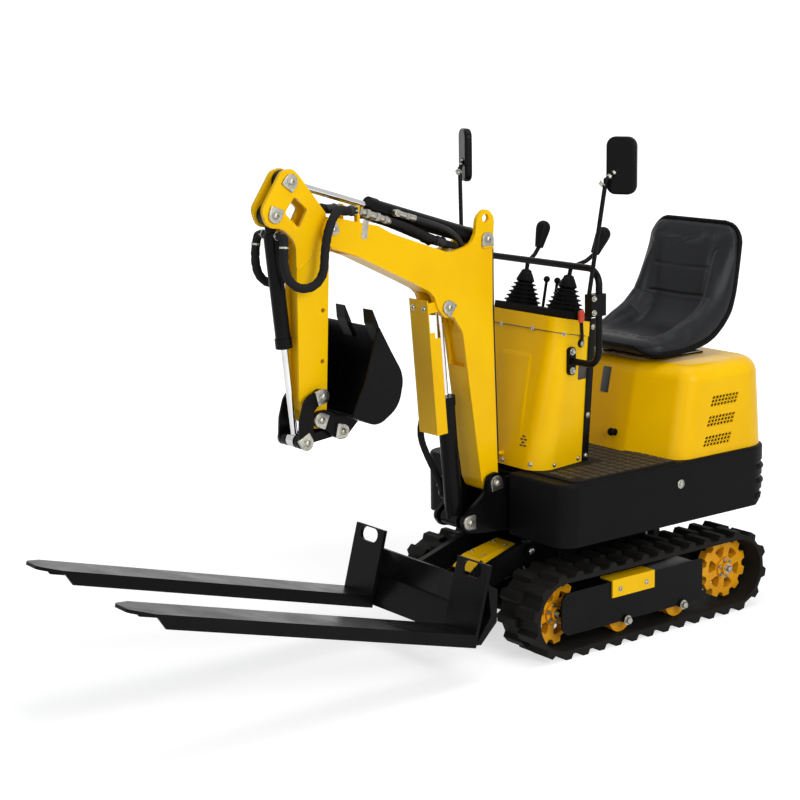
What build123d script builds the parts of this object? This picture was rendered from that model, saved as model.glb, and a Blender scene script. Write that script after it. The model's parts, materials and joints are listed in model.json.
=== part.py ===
"""Micro excavator with a dozer blade that carries two pallet forks.

Millimetres. Forward is +X, the machine's left is +Y, up is +Z, and the ground is Z = 0.
Outlines are drawn from the left side as (x, z, corner radius) points.
"""
from build123d import *
from math import acos, atan2, cos, degrees, hypot, pi, radians, sin, tan
import os

os.makedirs("parts", exist_ok=True)

# Running gear
BELT_R = 112.0
BELT_T = 14.0
LUG_H = 16.0
LUG_COUNT = 32
TRACK_Y = 258.0
TRACK_W = 180.0
SPROCKET_X = -425.0
IDLER_X = 362.0
WHEEL_R = 105.0
WHEEL_T = 30.0
WHEEL_TEETH = 11
HUB_OUT = 34.0
COVER_T = 6.0
BEAM_Z = (77.0, 218.0)
ROLLER_R = 47.0
ROLLER_X = (96.0, -162.0)
ROLLER_FACE = 26.0
AXLE_R = 12.0
BEARING_R = 175.0
BEARING_Z = 345.0

# Blade and forks
BLADE_PIVOT = (337.0, 312.0)
BLADE_CYL_BASE = (292.0, 206.0)
BLADE_CYL_EYE = (572.0, 206.0)
BLADE_HALF = 341.0
BLADE_FACE = 3.0
BLADE_T = 8.0
BLADE_Z = (-30.0, 158.0)
BLADE_FOLD = (38.0, 62.0)
BLADE_GUARD_HALF = 66.0
FORK_TILT = 15.1
FORK_ROOT = (722.0, 158.0)
FORK_LENGTH = 1160.0
FORK_TONGUE = 62.0
FORK_Y = 267.0
FORK_W = 154.0
FORK_T = 10.0
FORK_FLANGE = 40.0
FORK_BACK = 218.0

# Upper structure
SLEW_X = -37.0
DECK_Z = 572.0
SKIRT_Z = 368.0
SKIRT_Y = 360.0
SKIRT_T = 8.0
FRONT_X = 386.0
FRONT_R = 64.0
REAR_X = -595.0
CORNER_R = 120.0
TRAY_Z = (376.0, 400.0)
PEDESTAL_X = 360.0
PEDESTAL_Y = 74.0
MAT_T = 6.0
HOOD_FRONT = -95.0
HOOD_Y = 344.0
HOOD_Z = 874.0
HOOD_T = 8.0
VENT_X = 170.0
VENT_DROP = 140.0
VENT_SIZE = (126.0, 36.0)
VENT_STEP = (18.0, 66.0)
VENT_LEAN = 15.0
SLIDE_H = 26.0
SEAT_HALF = 212.0
CONSOLE_TOP = 1072.0
CONSOLE_FRONT = 245.0
CONSOLE_SLOPE = 11.0
LID_H = 47.0
LID_STEP = 3.0
PAD_H = 24.0
STICK_Y = 104.0
STICK_X = -86.0
BOOT_H = 112.0
RAIL_X = 205.0
RAIL_Y = 320.0
RAIL_Z = 1237.0
RAIL_FOOT_Z = 930.0
RAIL_R = 11.0
RAIL_BEND = 50.0

# Digging gear pins, all on the middle plane
BOOM_FOOT = (425.0, 542.0)
BOOM_CYL_BASE = (538.0, 428.0)
BOOM_CYL_EYE = (594.0, 1128.0)
ARM_CYL_BASE = (435.0, 1329.0)
ARM_PIVOT = (1030.0, 1407.0)
ARM_CYL_EYE = (1163.0, 1554.0)
BUCKET_CYL_BASE = (1220.0, 1460.0)
ROCKER_PIVOT = (1087.0, 912.0)
BUCKET_HINGE = (1088.0, 838.0)
ROCKER_JOINT = (1149.0, 778.0)
BUCKET_LINK = (1010.0, 793.0)
BOOM_HALF = 50.0
ARM_HALF = 32.0
EAR_HALF = 20.0
BUCKET_HALF = 165.0
PIN_R = 12.5
BARREL_R = (29.0, 26.0, 23.0, 22.0)
ROD_R = 11.0
GUARD_X = 74.0
HOSE_R = 10.0
HOSE_TAB = (938.0, 44.0, 1456.0)
PORT_Y = 40.0
PORT_D = 60.0

# Running clearance of pins, and the gap of a piece on its seat
FIT = 0.05
SEATED = 0.3

# Stations that follow from the sizes above
AXLE_Z = BELT_R + BELT_T + LUG_H
TRACK_IN = TRACK_Y - TRACK_W / 2
BEAM_IN = TRACK_Y - 68
BEAM_OUT = BEAM_IN + 16
WHEEL_Y = TRACK_Y + 8
HUB_Y = WHEEL_Y + HUB_OUT
COVER_Y = TRACK_Y + 76
ROLLER_Z = AXLE_Z - BELT_R + ROLLER_R + SEATED
PUSH_IN = TRACK_IN - 55
PUSH_OUT = PUSH_IN + 22
SLIDE_Z = HOOD_Z + SEATED
SEAT_Z = HOOD_Z + SLIDE_H
FORK_TIP_X = FORK_ROOT[0] + (FORK_LENGTH + FORK_TONGUE) * cos(radians(FORK_TILT))
FRAME_X = (FORK_TIP_X + REAR_X) / 2


def save(shape, name):
    """Write one piece, moved so that the box of the whole machine is centred."""
    solid = Pos(-FRAME_X, 0, 0) * shape
    export_step(solid.solids()[0], f"parts/{name}.step")
    if len(solid.solids()) != 1:
        print("several solids:", name, [round(s.volume) for s in solid.solids()])


def rounded(points):
    """Face inside a closed run of (x, z, corner radius) points."""
    pts = [(Vector(p[0], p[1]), p[2] if len(p) > 2 else 0.0) for p in points]
    count = len(pts)
    corners = []
    for i, (p, r) in enumerate(pts):
        a = (pts[i - 1][0] - p).normalized()
        b = (pts[(i + 1) % count][0] - p).normalized()
        half = acos(max(-1.0, min(1.0, a.dot(b)))) / 2
        if r <= 0 or half > 1.565:
            corners.append((p, None, p))
            continue
        room = min((pts[i - 1][0] - p).length, (pts[(i + 1) % count][0] - p).length)
        run = min(r / tan(half), 0.49 * room)
        r = run * tan(half)
        mid = (a + b).normalized()
        corners.append((p + a * run, p + mid * (r / sin(half) - r), p + b * run))
    edges = []
    for i in range(count):
        start, mid, end = corners[i]
        if mid is not None:
            edges.append(ThreePointArc(start, mid, end))
        after = corners[(i + 1) % count][0]
        if (after - end).length > 1e-4:
            edges.append(Line(end, after))
    return make_face(edges)


def plate(points, y0, y1):
    """Prism with an outline seen from the side, between two Y stations."""
    body = extrude(Plane.XZ * rounded(points), amount=(y1 - y0) / 2, both=True)
    return Pos(0, (y0 + y1) / 2, 0) * body


def twin(points, y0, y1):
    """The same plate on the left and on the right."""
    return plate(points, y0, y1) + plate(points, -y1, -y0)


def slab(points, z0, z1):
    """Prism with an outline seen from above, between two heights."""
    return Pos(0, 0, z0) * extrude(rounded(points), amount=z1 - z0)


def drum(at, r, y0, y1):
    """Cylinder along Y at a side-view point."""
    return Pos(at[0], (y0 + y1) / 2, at[1]) * Rot(90, 0, 0) * Cylinder(r, y1 - y0)


def bar(p, q, r, y=0.0):
    """Round bar between two side-view points."""
    dx, dz = q[0] - p[0], q[1] - p[1]
    turn = degrees(atan2(dx, dz))
    at = Pos((p[0] + q[0]) / 2, y, (p[1] + q[1]) / 2)
    return at * Rot(0, turn, 0) * Cylinder(r, hypot(dx, dz))


def block(x0, x1, y0, y1, z0, z1):
    """Box between stations."""
    at = Pos((x0 + x1) / 2, (y0 + y1) / 2, (z0 + z1) / 2)
    return at * Box(x1 - x0, y1 - y0, z1 - z0)


def along(p, q, d):
    """Point at a distance d from p towards q."""
    length = hypot(q[0] - p[0], q[1] - p[1])
    return (p[0] + (q[0] - p[0]) * d / length, p[1] + (q[1] - p[1]) * d / length)


def turned(about, x, z, angle):
    """Point at local (x, z) from a pin, turned by an angle in the side view."""
    c, s = cos(radians(angle)), sin(radians(angle))
    return (about[0] + x * c - z * s, about[1] + x * s + z * c)


def mirrored(shape):
    """The piece on the other side of the machine."""
    return mirror(shape, about=Plane.XZ)


# Rubber tracks
def belt_point(s, h):
    """Point on the belt loop at run s and height h over the wheel centres."""
    span = IDLER_X - SPROCKET_X
    mid = BELT_R + BELT_T / 2
    wrap = pi * mid
    s = s % (2 * span + 2 * wrap)
    if s < span:
        return (SPROCKET_X + s, AXLE_Z - h)
    s -= span
    if s < wrap:
        a = -pi / 2 + s / mid
        return (IDLER_X + h * cos(a), AXLE_Z + h * sin(a))
    s -= wrap
    if s < span:
        return (IDLER_X - s, AXLE_Z + h)
    a = pi / 2 + (s - span) / mid
    return (SPROCKET_X + h * cos(a), AXLE_Z + h * sin(a))


def track_half(phase, y0, y1):
    """Half the width of a track, its lugs shifted by a phase of the pitch."""
    loop = 2 * (IDLER_X - SPROCKET_X) + 2 * pi * (BELT_R + BELT_T / 2)
    pitch = loop / LUG_COUNT
    outer = BELT_R + BELT_T
    ring = []
    for i in range(LUG_COUNT):
        s = (i + phase) * pitch
        tip = outer + LUG_H
        for part, height in ((-0.27, outer), (-0.15, tip), (0.15, tip), (0.27, outer)):
            ring.append(belt_point(s + part * pitch, height))
    return plate(ring, y0, y1)


span = IDLER_X - SPROCKET_X
loop_hole = Pos((IDLER_X + SPROCKET_X) / 2, 0, AXLE_Z) * (Plane.XZ * SlotCenterToCenter(span, 2 * BELT_R))
track = track_half(0.25, TRACK_IN, TRACK_Y) + track_half(0.75, TRACK_Y, TRACK_Y + TRACK_W / 2)
track = track - extrude(loop_hole, amount=800, both=True)
save(track, "left_track")
save(mirrored(track), "right_track")


# Toothed wheels at both ends of each track
def toothed_wheel(x):
    """Toothed plate wheel with windows and a stepped hub."""
    ring = []
    step = 360 / WHEEL_TEETH
    root = WHEEL_R - 16
    for i in range(WHEEL_TEETH):
        for part, r in ((-0.36, root), (-0.22, WHEEL_R), (0.22, WHEEL_R), (0.36, root)):
            a = radians((i + part) * step)
            ring.append((x + r * cos(a), AXLE_Z + r * sin(a)))
    wheel = plate(ring, WHEEL_Y - WHEEL_T / 2, WHEEL_Y + WHEEL_T / 2)
    for i in range(6):
        a = 60 * i + 12
        window = ((40, -9), (71, -24), (75, 0), (71, 24), (40, 9))
        hole = [(*turned((x, AXLE_Z), *p, a), 6.0) for p in window]
        wheel -= plate(hole, WHEEL_Y - WHEEL_T, WHEEL_Y + WHEEL_T)
    wheel += drum((x, AXLE_Z), 36, WHEEL_Y, WHEEL_Y + WHEEL_T / 2 + 8)
    wheel += drum((x, AXLE_Z), AXLE_R + 10, WHEEL_Y, HUB_Y)
    return wheel - drum((x, AXLE_Z), AXLE_R + FIT, WHEEL_Y - WHEEL_T, HUB_Y - 6)


sprocket = toothed_wheel(SPROCKET_X)
save(sprocket, "left_sprocket")
save(mirrored(sprocket), "right_sprocket")
idler = toothed_wheel(IDLER_X)
save(idler, "left_idler")
save(mirrored(idler), "right_idler")

# Side beams with the travel motors, roller axles and cover plates
z0, z1 = BEAM_Z
cover_back, cover_front = SPROCKET_X + WHEEL_R + 62, IDLER_X + 15
cover = [(cover_back, z0, 4), (cover_front - 22, z0, 4), (cover_front, z0 + 24, 6), (cover_front, z1 - 20, 6),
         (cover_front - 18, z1, 4), (cover_back, z1, 4)]
beam = plate(cover, COVER_Y, COVER_Y + COVER_T)
cheek = [(SPROCKET_X - 60, AXLE_Z - 52, 40), (cover_back + 40, z0, 8), (cover_front, z0, 8),
         (cover_front, z1, 8), (cover_back + 40, z1, 8), (SPROCKET_X - 60, AXLE_Z + 52, 40)]
beam += plate(cheek, BEAM_IN, BEAM_OUT)
box_z = ROLLER_Z + ROLLER_R + 8
beam += block(SPROCKET_X + WHEEL_R + 70, IDLER_X - WHEEL_R - 12, BEAM_IN, COVER_Y, box_z, z1 - 14)
beam += drum((SPROCKET_X, AXLE_Z), 60, BEAM_IN - 16, WHEEL_Y - WHEEL_T / 2 - 1)
for x in (SPROCKET_X, IDLER_X):
    beam += drum((x, AXLE_Z), AXLE_R, BEAM_IN, HUB_Y - 8)
beam += block(IDLER_X - 22, IDLER_X + 22, BEAM_IN, WHEEL_Y - WHEEL_T / 2 - 2, AXLE_Z - 22, AXLE_Z + 22)
for x in ROLLER_X:
    beam += drum((x, ROLLER_Z), AXLE_R, BEAM_IN, COVER_Y + COVER_T + 6)
save(beam, "left_side_beam")
save(mirrored(beam), "right_side_beam")

for name, x in zip(("front", "rear"), ROLLER_X):
    inner_face, outer_face = WHEEL_Y - 18 - ROLLER_FACE, WHEEL_Y + 18 + ROLLER_FACE
    roller = drum((x, ROLLER_Z), ROLLER_R, inner_face, inner_face + ROLLER_FACE)
    roller += drum((x, ROLLER_Z), ROLLER_R, outer_face - ROLLER_FACE, outer_face)
    roller += drum((x, ROLLER_Z), ROLLER_R - 16, inner_face, outer_face)
    roller -= drum((x, ROLLER_Z), AXLE_R + FIT, inner_face - 10, outer_face + 10)
    save(roller, f"left_{name}_roller")
    save(mirrored(roller), f"right_{name}_roller")

# Yellow step plates folded over the top of each cover
skid_face = COVER_Y + COVER_T + SEATED
skid = block(-27, 162, skid_face, skid_face + 5, z1 - 53, z1 + 6)
skid += block(-27, 162, COVER_Y - 50, skid_face + 5, z1 + SEATED, z1 + 6)
save(skid, "left_skid")
save(mirrored(skid), "right_skid")

# Car body between the tracks, with the slew bearing and the blade brackets
deep, shallow = BEAM_IN, TRACK_IN - 18
car = slab([(-255, -deep, 20), (255, -deep, 20), (255, deep, 20), (-255, deep, 20)], 96, 226)
car += slab([(-220, -shallow, 60), (190, -shallow, 60), (190, shallow, 60), (-220, shallow, 60)], 220, 300)
car += Pos(SLEW_X, 0, (299 + BEARING_Z) / 2) * Cylinder(BEARING_R, BEARING_Z - 299)
px, pz = BLADE_PIVOT
bracket = [(120, 130, 10), (250, 130, 30), (px + 30, pz - 16, 30), (px + 26, pz + 26, 26),
           (px - 16, pz + 32, 26), (120, 290, 10)]
car += twin(bracket, PUSH_IN - 17, PUSH_IN - 3)
bx, bz = BLADE_CYL_BASE
lug = [(220, bz - 60, 8), (bx + 4, bz - 32, 24), (bx + 30, bz, 24), (bx + 4, bz + 32, 24), (220, bz + 60, 8)]
car += twin(lug, 24, 38)
for y0, y1 in ((PUSH_IN - 17, PUSH_OUT + 7), (-PUSH_OUT - 7, 17 - PUSH_IN)):
    car += drum(BLADE_PIVOT, PIN_R, y0, y1)
for y in (PUSH_OUT + 4, -PUSH_OUT - 11):
    car += drum(BLADE_PIVOT, PIN_R + 7.5, y, y + 7)
car += drum(BLADE_CYL_BASE, PIN_R, -38, 38)
save(car, "undercarriage_frame")


# Dozer blade with its push arms; drawn level, then turned up with the forks
def fork_frame(x, z):
    """Side-view point from along-fork and upright distances at the fork root."""
    return turned(FORK_ROOT, x, z, FORK_TILT)


def lifted(points):
    """Outline given along the forks, turned into the machine frame."""
    return [(*fork_frame(p[0], p[1]), p[2] if len(p) > 2 else 0.0) for p in points]


(low, high), (back, fold) = BLADE_Z, BLADE_FOLD
face = [(BLADE_FACE, high), (BLADE_FACE - back, fold, 24), (BLADE_FACE, low)]
rear = [(BLADE_FACE - BLADE_T, low - 2), (BLADE_FACE - back - BLADE_T, fold, 32),
        (BLADE_FACE - BLADE_T, high + 2)]
board = plate(lifted(face + rear), -BLADE_HALF, BLADE_HALF)
ends = [(BLADE_FACE - 20, low), (BLADE_FACE - back - 28, fold - 16, 10), (BLADE_FACE - 42, high - 10, 6)]
board += twin(lifted(face + ends), BLADE_HALF - BLADE_T, BLADE_HALF)
root = fork_frame(BLADE_FACE - back - BLADE_T / 2, fold - 8)
arm_side = [(px - 30, pz - 12, 22), (px - 8, pz - 36, 22), (root[0], root[1] - 44, 6),
            (root[0] + 16, root[1] + 8, 4), (root[0] + 4, root[1] + 42, 6), (px + 24, pz + 30, 26),
            (px - 20, pz + 30, 22)]
blade = twin(arm_side, PUSH_IN, PUSH_OUT)
tie_a, tie_b = along(BLADE_PIVOT, root, 70), along(BLADE_PIVOT, root, 120)
tie = [(tie_a[0], tie_a[1] - 32), (tie_b[0], tie_b[1] - 32), (tie_b[0], tie_b[1] - 10),
       (tie_a[0], tie_a[1] - 10)]
blade += plate(tie, -PUSH_IN, PUSH_IN)
ex, ez = BLADE_CYL_EYE
eye_lug = [(ex - 26, ez - 6, 18), (ex - 4, ez - 28, 18), (root[0] + 12, root[1] - 30, 4),
           (root[0] + 10, root[1] + 60, 4), (ex + 6, ez + 27, 18), (ex - 22, ez + 18, 18)]
blade += twin(eye_lug, 24, 38)
ahead = [(BLADE_FACE - BLADE_T / 2, high + 60), (BLADE_FACE - BLADE_T / 2, high),
         (BLADE_FACE - back - BLADE_T / 2, fold, 28), (BLADE_FACE - BLADE_T / 2, low),
         (BLADE_FACE - BLADE_T / 2, low - 80), (220, low - 80), (220, high + 60)]
blade = blade - plate(lifted(ahead), -BLADE_HALF, BLADE_HALF) + board

# The guard's slope leaves the pivot; a riser on the tie carries it
shed_a, shed_b = (px - 14, pz + 4), (px + 130, pz - 24)
shed_t = 5.0
riser = [along(shed_a, shed_b, 84), along(shed_a, shed_b, 124)]
riser = [(riser[0][0], tie_a[1] - 20), (riser[1][0], tie_b[1] - 20),
         (riser[1][0], riser[1][1] - shed_t - 1), (riser[0][0], riser[0][1] - shed_t - 1)]
blade += plate(riser, -30, 30)
for y0, y1 in ((PUSH_IN - 5, PUSH_OUT + 5), (-PUSH_OUT - 5, 5 - PUSH_IN)):
    blade -= drum(BLADE_PIVOT, PIN_R + FIT, y0, y1)
save(blade, "blade")


def fork(side):
    """Pallet fork: a pressed channel with a pointed tongue and a slotted back plate."""
    tine = block(0, FORK_LENGTH, -FORK_W / 2, FORK_W / 2, -FORK_T, 0)
    edge = FORK_W / 2
    cheek = make_face(Polyline((0, 0), (0, -FORK_FLANGE), (FORK_LENGTH - 45, -FORK_FLANGE),
                               (FORK_LENGTH, 0), close=True))
    cheek = extrude(Plane.XZ * cheek, amount=4, both=True)
    tine += Pos(0, edge - 4, 0) * cheek + Pos(0, 4 - edge, 0) * cheek
    end = FORK_LENGTH + FORK_TONGUE
    tine += slab([(FORK_LENGTH - 2, -edge), (end, -edge / 2, 24), (end, edge / 2, 24), (FORK_LENGTH - 2, edge)],
                 -FORK_T, 0)
    tine += block(0, 12, -edge, edge, -FORK_FLANGE, FORK_BACK)
    tine -= Pos(0, 0, FORK_BACK - 27) * extrude(Plane.YZ * SlotOverall(0.6 * FORK_W, 46), amount=40, both=True)
    seat_at = Pos(FORK_ROOT[0], side * FORK_Y, FORK_ROOT[1]) * Rot(0, -FORK_TILT, 0)
    return seat_at * Pos(BLADE_FACE + SEATED, 0, 0) * tine


save(fork(1), "left_fork")
save(fork(-1), "right_fork")

# Folded guard over the blade cylinder: a shallow roof and a flap
half = BLADE_GUARD_HALF
roof = Polyline((-half, -14), (22 - half, 0), (half - 22, 0), (half, -14), (half, -14 - shed_t),
                (half - 22, -shed_t), (22 - half, -shed_t), (-half, -14 - shed_t), close=True)
shed_run = Vector(shed_b[0] - shed_a[0], 0, shed_b[1] - shed_a[1])
shed = Plane(origin=(shed_a[0], 0, shed_a[1]), x_dir=(0, 1, 0), z_dir=shed_run)
guard = extrude(shed * make_face(roof), amount=shed_run.length)
flap = [shed_b, (shed_b[0] + 46, shed_b[1] - 34), (shed_b[0] + 43, shed_b[1] - 38),
        (shed_b[0] - 3, shed_b[1] - 4)]
save(guard + plate(flap, 22 - half, half - 22), "blade_cylinder_guard")


# Hydraulic cylinders
def hydraulic(base, eye, barrel_r, gland, overlap, base_half, eye_half, neck=30):
    """Barrel with its base eye and bored rod guide, and the rod with its own eye and pin."""
    top = along(base, eye, gland)
    barrel = bar(along(base, eye, neck), top, barrel_r) + drum(base, barrel_r * 0.9, -base_half, base_half)
    barrel += bar(along(base, eye, 4), along(base, eye, neck + 10), min(barrel_r, base_half) - 2)
    barrel += bar(along(base, eye, gland - 26), along(base, eye, gland + 4), barrel_r + 3)
    barrel -= bar(along(base, eye, neck + 14), along(base, eye, gland + 20), ROD_R + FIT)
    barrel -= drum(base, PIN_R + FIT, -base_half - 5, base_half + 5)
    rod = bar(along(base, eye, gland - overlap), eye, ROD_R) + drum(eye, 22, -eye_half, eye_half)
    return barrel, rod


def pair(name, parts):
    save(parts[0], f"{name}_cylinder_barrel")
    save(parts[1], f"{name}_cylinder_rod")


pair("blade", hydraulic(BLADE_CYL_BASE, BLADE_CYL_EYE, BARREL_R[3], 165, 60, 22, 22))
pair("arm", hydraulic(ARM_CYL_BASE, ARM_CYL_EYE, BARREL_R[1], 447, 110, 22, 18))
barrel, rod = hydraulic(BUCKET_CYL_BASE, ROCKER_JOINT, BARREL_R[2], 396, 90, 18, 18, 56)
port = along(BUCKET_CYL_BASE, ROCKER_JOINT, PORT_D)
pair("bucket", (barrel + drum(port, HOSE_R + 1, -PORT_Y, PORT_Y), rod))
pair("boom", hydraulic(BOOM_CYL_BASE, BOOM_CYL_EYE, BARREL_R[0], 405, 80, 40, 22))

# Folded guard in front of the boom cylinder rod, bolted to a tab of the boom
ux, uz = BOOM_CYL_EYE
lean = degrees(atan2(ux - BOOM_CYL_BASE[0], uz - BOOM_CYL_BASE[1]))
rod_frame = Pos(ux, 0, uz) * Rot(0, lean, 0)
channel = block(36, GUARD_X + 4, -46, 46, -400, 34) - block(0, GUARD_X, -42, 42, -500, 100)
channel -= block(0, 56, -60, 60, -90, 60)
channel -= block(0, GUARD_X, -60, 60, -70, 60)
save(rod_frame * channel, "boom_cylinder_guard")

# Upper frame: tray plate, slew ring and the boom bracket
def footprint(inset, rear=0.0):
    """Plan of the upper structure, drawn in by an inset and cut shorter at the rear."""
    y, back = SKIRT_Y - inset, REAR_X + max(inset, rear)
    return [(FRONT_X - inset, -y, FRONT_R - inset), (FRONT_X - inset, y, FRONT_R - inset),
            (back, y, CORNER_R - inset), (back, -y, CORNER_R - inset)]


frame = slab(footprint(SKIRT_T + SEATED, 60), *TRAY_Z)
ring_z = BEARING_Z + SEATED
frame += Pos(SLEW_X, 0, (ring_z + TRAY_Z[0] + 2) / 2) * Cylinder(BEARING_R - 15, TRAY_Z[0] + 2 - ring_z)
frame += block(200, PEDESTAL_X, -PEDESTAL_Y, PEDESTAL_Y, TRAY_Z[1] - 10, DECK_Z - 12)
fx, fz = BOOM_FOOT
cx, cz = BOOM_CYL_BASE
ear = [(PEDESTAL_X - 82, 372, 6), (cx - 60, 384, 20), (cx + 8, cz - 34, 28), (cx + 36, cz + 6, 28),
       (cx - 6, cz + 40, 28), (fx + 46, fz - 30, 40), (fx + 30, fz + 26, 26), (fx - 10, fz + 36, 30),
       (fx - 40, fz + 10, 20), (PEDESTAL_X - 82, DECK_Z - 6, 6)]
frame += twin(ear, PEDESTAL_Y - 14, PEDESTAL_Y)
frame += drum(BOOM_FOOT, PIN_R + 3, -PEDESTAL_Y, PEDESTAL_Y)
frame += drum(BOOM_CYL_BASE, PIN_R, -PEDESTAL_Y, PEDESTAL_Y)
for y in (PEDESTAL_Y, -PEDESTAL_Y - 6):
    frame += drum(BOOM_FOOT, 22, y, y + 6) + drum(BOOM_CYL_BASE, 22, y, y + 6)
save(frame, "upper_frame")

# Skirt panels round the tray, with three grooves at each rear corner
gap = PEDESTAL_Y + 22
skirt = slab(footprint(0), SKIRT_Z, DECK_Z)
skirt = fillet(skirt.faces().sort_by(Axis.Z)[-1].edges(), 10)
tail = [(REAR_X - 10, SKIRT_Z - 10), (REAR_X + 120, SKIRT_Z - 10), (REAR_X + 90, SKIRT_Z + 6, 40),
        (REAR_X - 10, SKIRT_Z + 70)]
skirt -= plate(tail, -SKIRT_Y - 10, SKIRT_Y + 10)
skirt -= slab(footprint(SKIRT_T), SKIRT_Z - 5, DECK_Z - SKIRT_T)
for i in range(3):
    low = DECK_Z - 70 - 50 * i
    groove = slab(footprint(-5), low, low + 16) - slab(footprint(SKIRT_T - 2), low - 5, low + 21)
    skirt -= groove & block(REAR_X - 20, REAR_X + 105, -SKIRT_Y - 20, SKIRT_Y + 20, low - 5, low + 21)
skirt -= block(PEDESTAL_X - 285, FRONT_X + 20, -gap, gap, SKIRT_Z - 10, DECK_Z + 10)
skirt -= block(REAR_X + 60, HOOD_FRONT - 70, 60 - SKIRT_Y, SKIRT_Y - 60, DECK_Z - 20, DECK_Z + 10)
save(skirt, "skirt")


# Engine hood, its vents and the engine under it
def hood_ring(z, inset):
    """Plan of the hood at a height: a bowed front that leans back and a rounded rear."""
    t = (z - DECK_Z) / (HOOD_Z - DECK_Z)
    front, side, rear = HOOD_FRONT - 60 * t - inset, HOOD_Y - 8 * t - inset, REAR_X + 18 * t + inset
    plan = [(front, -125, 70), (front, 125, 70), (front - 46, side, 70), (rear, side, CORNER_R - inset),
            (rear, -side, CORNER_R - inset), (front - 46, -side, 70)]
    return Pos(0, 0, z) * rounded(plan)


hood = loft([hood_ring(DECK_Z, 0), hood_ring(HOOD_Z, 0)])
hood = fillet(hood.faces().sort_by(Axis.Z)[-1].edges(), 56)
hood -= loft([hood_ring(DECK_Z - 5, HOOD_T), hood_ring(HOOD_Z - 66, HOOD_T)])
for i in range(3):
    x0, top = REAR_X + VENT_X + VENT_STEP[0] * i, HOOD_Z - VENT_DROP + VENT_SIZE[1] - VENT_STEP[1] * i
    x1, low = x0 + VENT_SIZE[0], top - VENT_SIZE[1]
    vent = [(x0, top, 3), (x0 + VENT_LEAN, low, 3), (x1 + VENT_LEAN, low, 3), (x1, top, 3)]
    hood -= plate(vent, -HOOD_Y - 10, HOOD_Y + 10)
save(hood, "hood")
engine = block(-520, -210, -190, 190, TRAY_Z[1] + SEATED, HOOD_Z - 74)
save(fillet(engine.edges(), 12), "engine")

mat = slab([(FRONT_X - 56, gap, 6), (FRONT_X - 56, SKIRT_Y - 14, 34), (HOOD_FRONT - 30, SKIRT_Y - 14, 6),
            (HOOD_FRONT + 6, 130, 6), (HOOD_FRONT + 6, -130, 6), (HOOD_FRONT - 30, 14 - SKIRT_Y, 6),
            (FRONT_X - 56, 14 - SKIRT_Y, 34), (FRONT_X - 56, -gap, 6), (PEDESTAL_X - 285, -gap, 4),
            (PEDESTAL_X - 285, gap, 4)], DECK_Z, DECK_Z + MAT_T)
save(mat, "floor_mat")

# Seat pan and back in one shell, on its slide
side_view = [(-200, SEAT_Z + 5, 24), (-186, SEAT_Z + 50, 30), (-225, SEAT_Z + 84, 40),
             (-430, SEAT_Z + 62, 60), (-528, SEAT_Z + 390, 30), (-556, SEAT_Z + 418, 20),
             (-582, SEAT_Z + 390, 30), (-514, SEAT_Z + 110, 80), (-480, SEAT_Z + 30, 60), (-430, SEAT_Z, 50)]
front_view = Plane.YZ * Pos(0, SEAT_Z + 205) * RectangleRounded(2 * SEAT_HALF, 430, 75)
seat = plate(side_view, -SEAT_HALF - 5, SEAT_HALF + 5) & extrude(front_view, amount=900, both=True)
save(seat, "seat")
save(block(-470, -240, -170, 170, SLIDE_Z, SEAT_Z - SEATED), "seat_slide")


# Control console with its stepped lid, pad, levers and rail
def console_ring(z, grow):
    """Plan of the console at a height: wide and deep at the foot, shallow at the top."""
    t = (z - DECK_Z - MAT_T) / (CONSOLE_TOP - DECK_Z - MAT_T)
    front, rear = CONSOLE_FRONT + 90 * (1 - t) + grow, CONSOLE_FRONT - 140 - 7 * (1 - t) - grow
    wide, narrow = 198 - 16 * (1 - t) + grow, 188 - 46 * (1 - t) + grow
    ring = [(front, -wide, 66), (front, wide, 66), (rear, narrow, 30), (rear, -narrow, 30)]
    return Pos(0, 0, z) * rounded(ring)


top_frame = Pos(CONSOLE_FRONT, 0, CONSOLE_TOP) * Rot(0, -CONSOLE_SLOPE, 0)
over = top_frame * Box(900, 900, 400, align=(Align.CENTER, Align.CENTER, Align.MIN))
under = top_frame * Pos(0, 0, -LID_H) * Box(900, 900, 900, align=(Align.CENTER, Align.CENTER, Align.MAX))
body = loft([console_ring(DECK_Z + MAT_T, 0), console_ring(CONSOLE_TOP + 20, 0)])
lid = loft([console_ring(DECK_Z + MAT_T, LID_STEP), console_ring(CONSOLE_TOP + 20, LID_STEP)]) - under
console = body + lid - over
save(console, "console")

pad = Pos(STICK_X, 0, SEATED) * extrude(RectangleRounded(112, 372, 14), amount=PAD_H)
for y in (-26, 26):
    pad += Pos(STICK_X - 24, y, PAD_H + 42) * Cylinder(5, 90) + Pos(STICK_X - 24, y, PAD_H + 92) * Sphere(11)
save(top_frame * pad, "control_tray")


def joystick(side):
    """Bellows boot, bent stem and grip of one control lever."""
    folds = 5
    profile = [(0, 0), (52, 0)]
    for i in range(folds):
        r, h = 52 - 6.4 * i, 13 * i
        profile += [(r, h + 6), (r - 13, h + 9), (r - 6.4, h + 13)]
    profile += [(17, BOOT_H), (0, BOOT_H)]
    boot = revolve(Plane.XZ * make_face(Polyline(*profile, close=True)), Axis.Z)
    base = top_frame * Pos(STICK_X, STICK_Y, PAD_H + 2 * SEATED)
    stick = base * boot
    top = (base * Pos(0, 0, BOOT_H - 6)).position
    knee, wrist, palm = top + (-8, 2, 34), top + (-56, 22, 52), top + (-84, 32, 74)
    path = FilletPolyline(top, knee, wrist, palm, radius=14)
    stick += sweep(Plane(origin=path @ 0, z_dir=path % 0) * Circle(7), path=path)
    crest = palm + (-28, 10, 62)
    grip = Plane(origin=palm, z_dir=crest - palm)
    stick += grip * Cone(14, 24, 62, align=(Align.CENTER, Align.CENTER, Align.MIN))
    stick += Pos(*crest) * Sphere(24)
    return stick if side > 0 else mirrored(stick)


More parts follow.
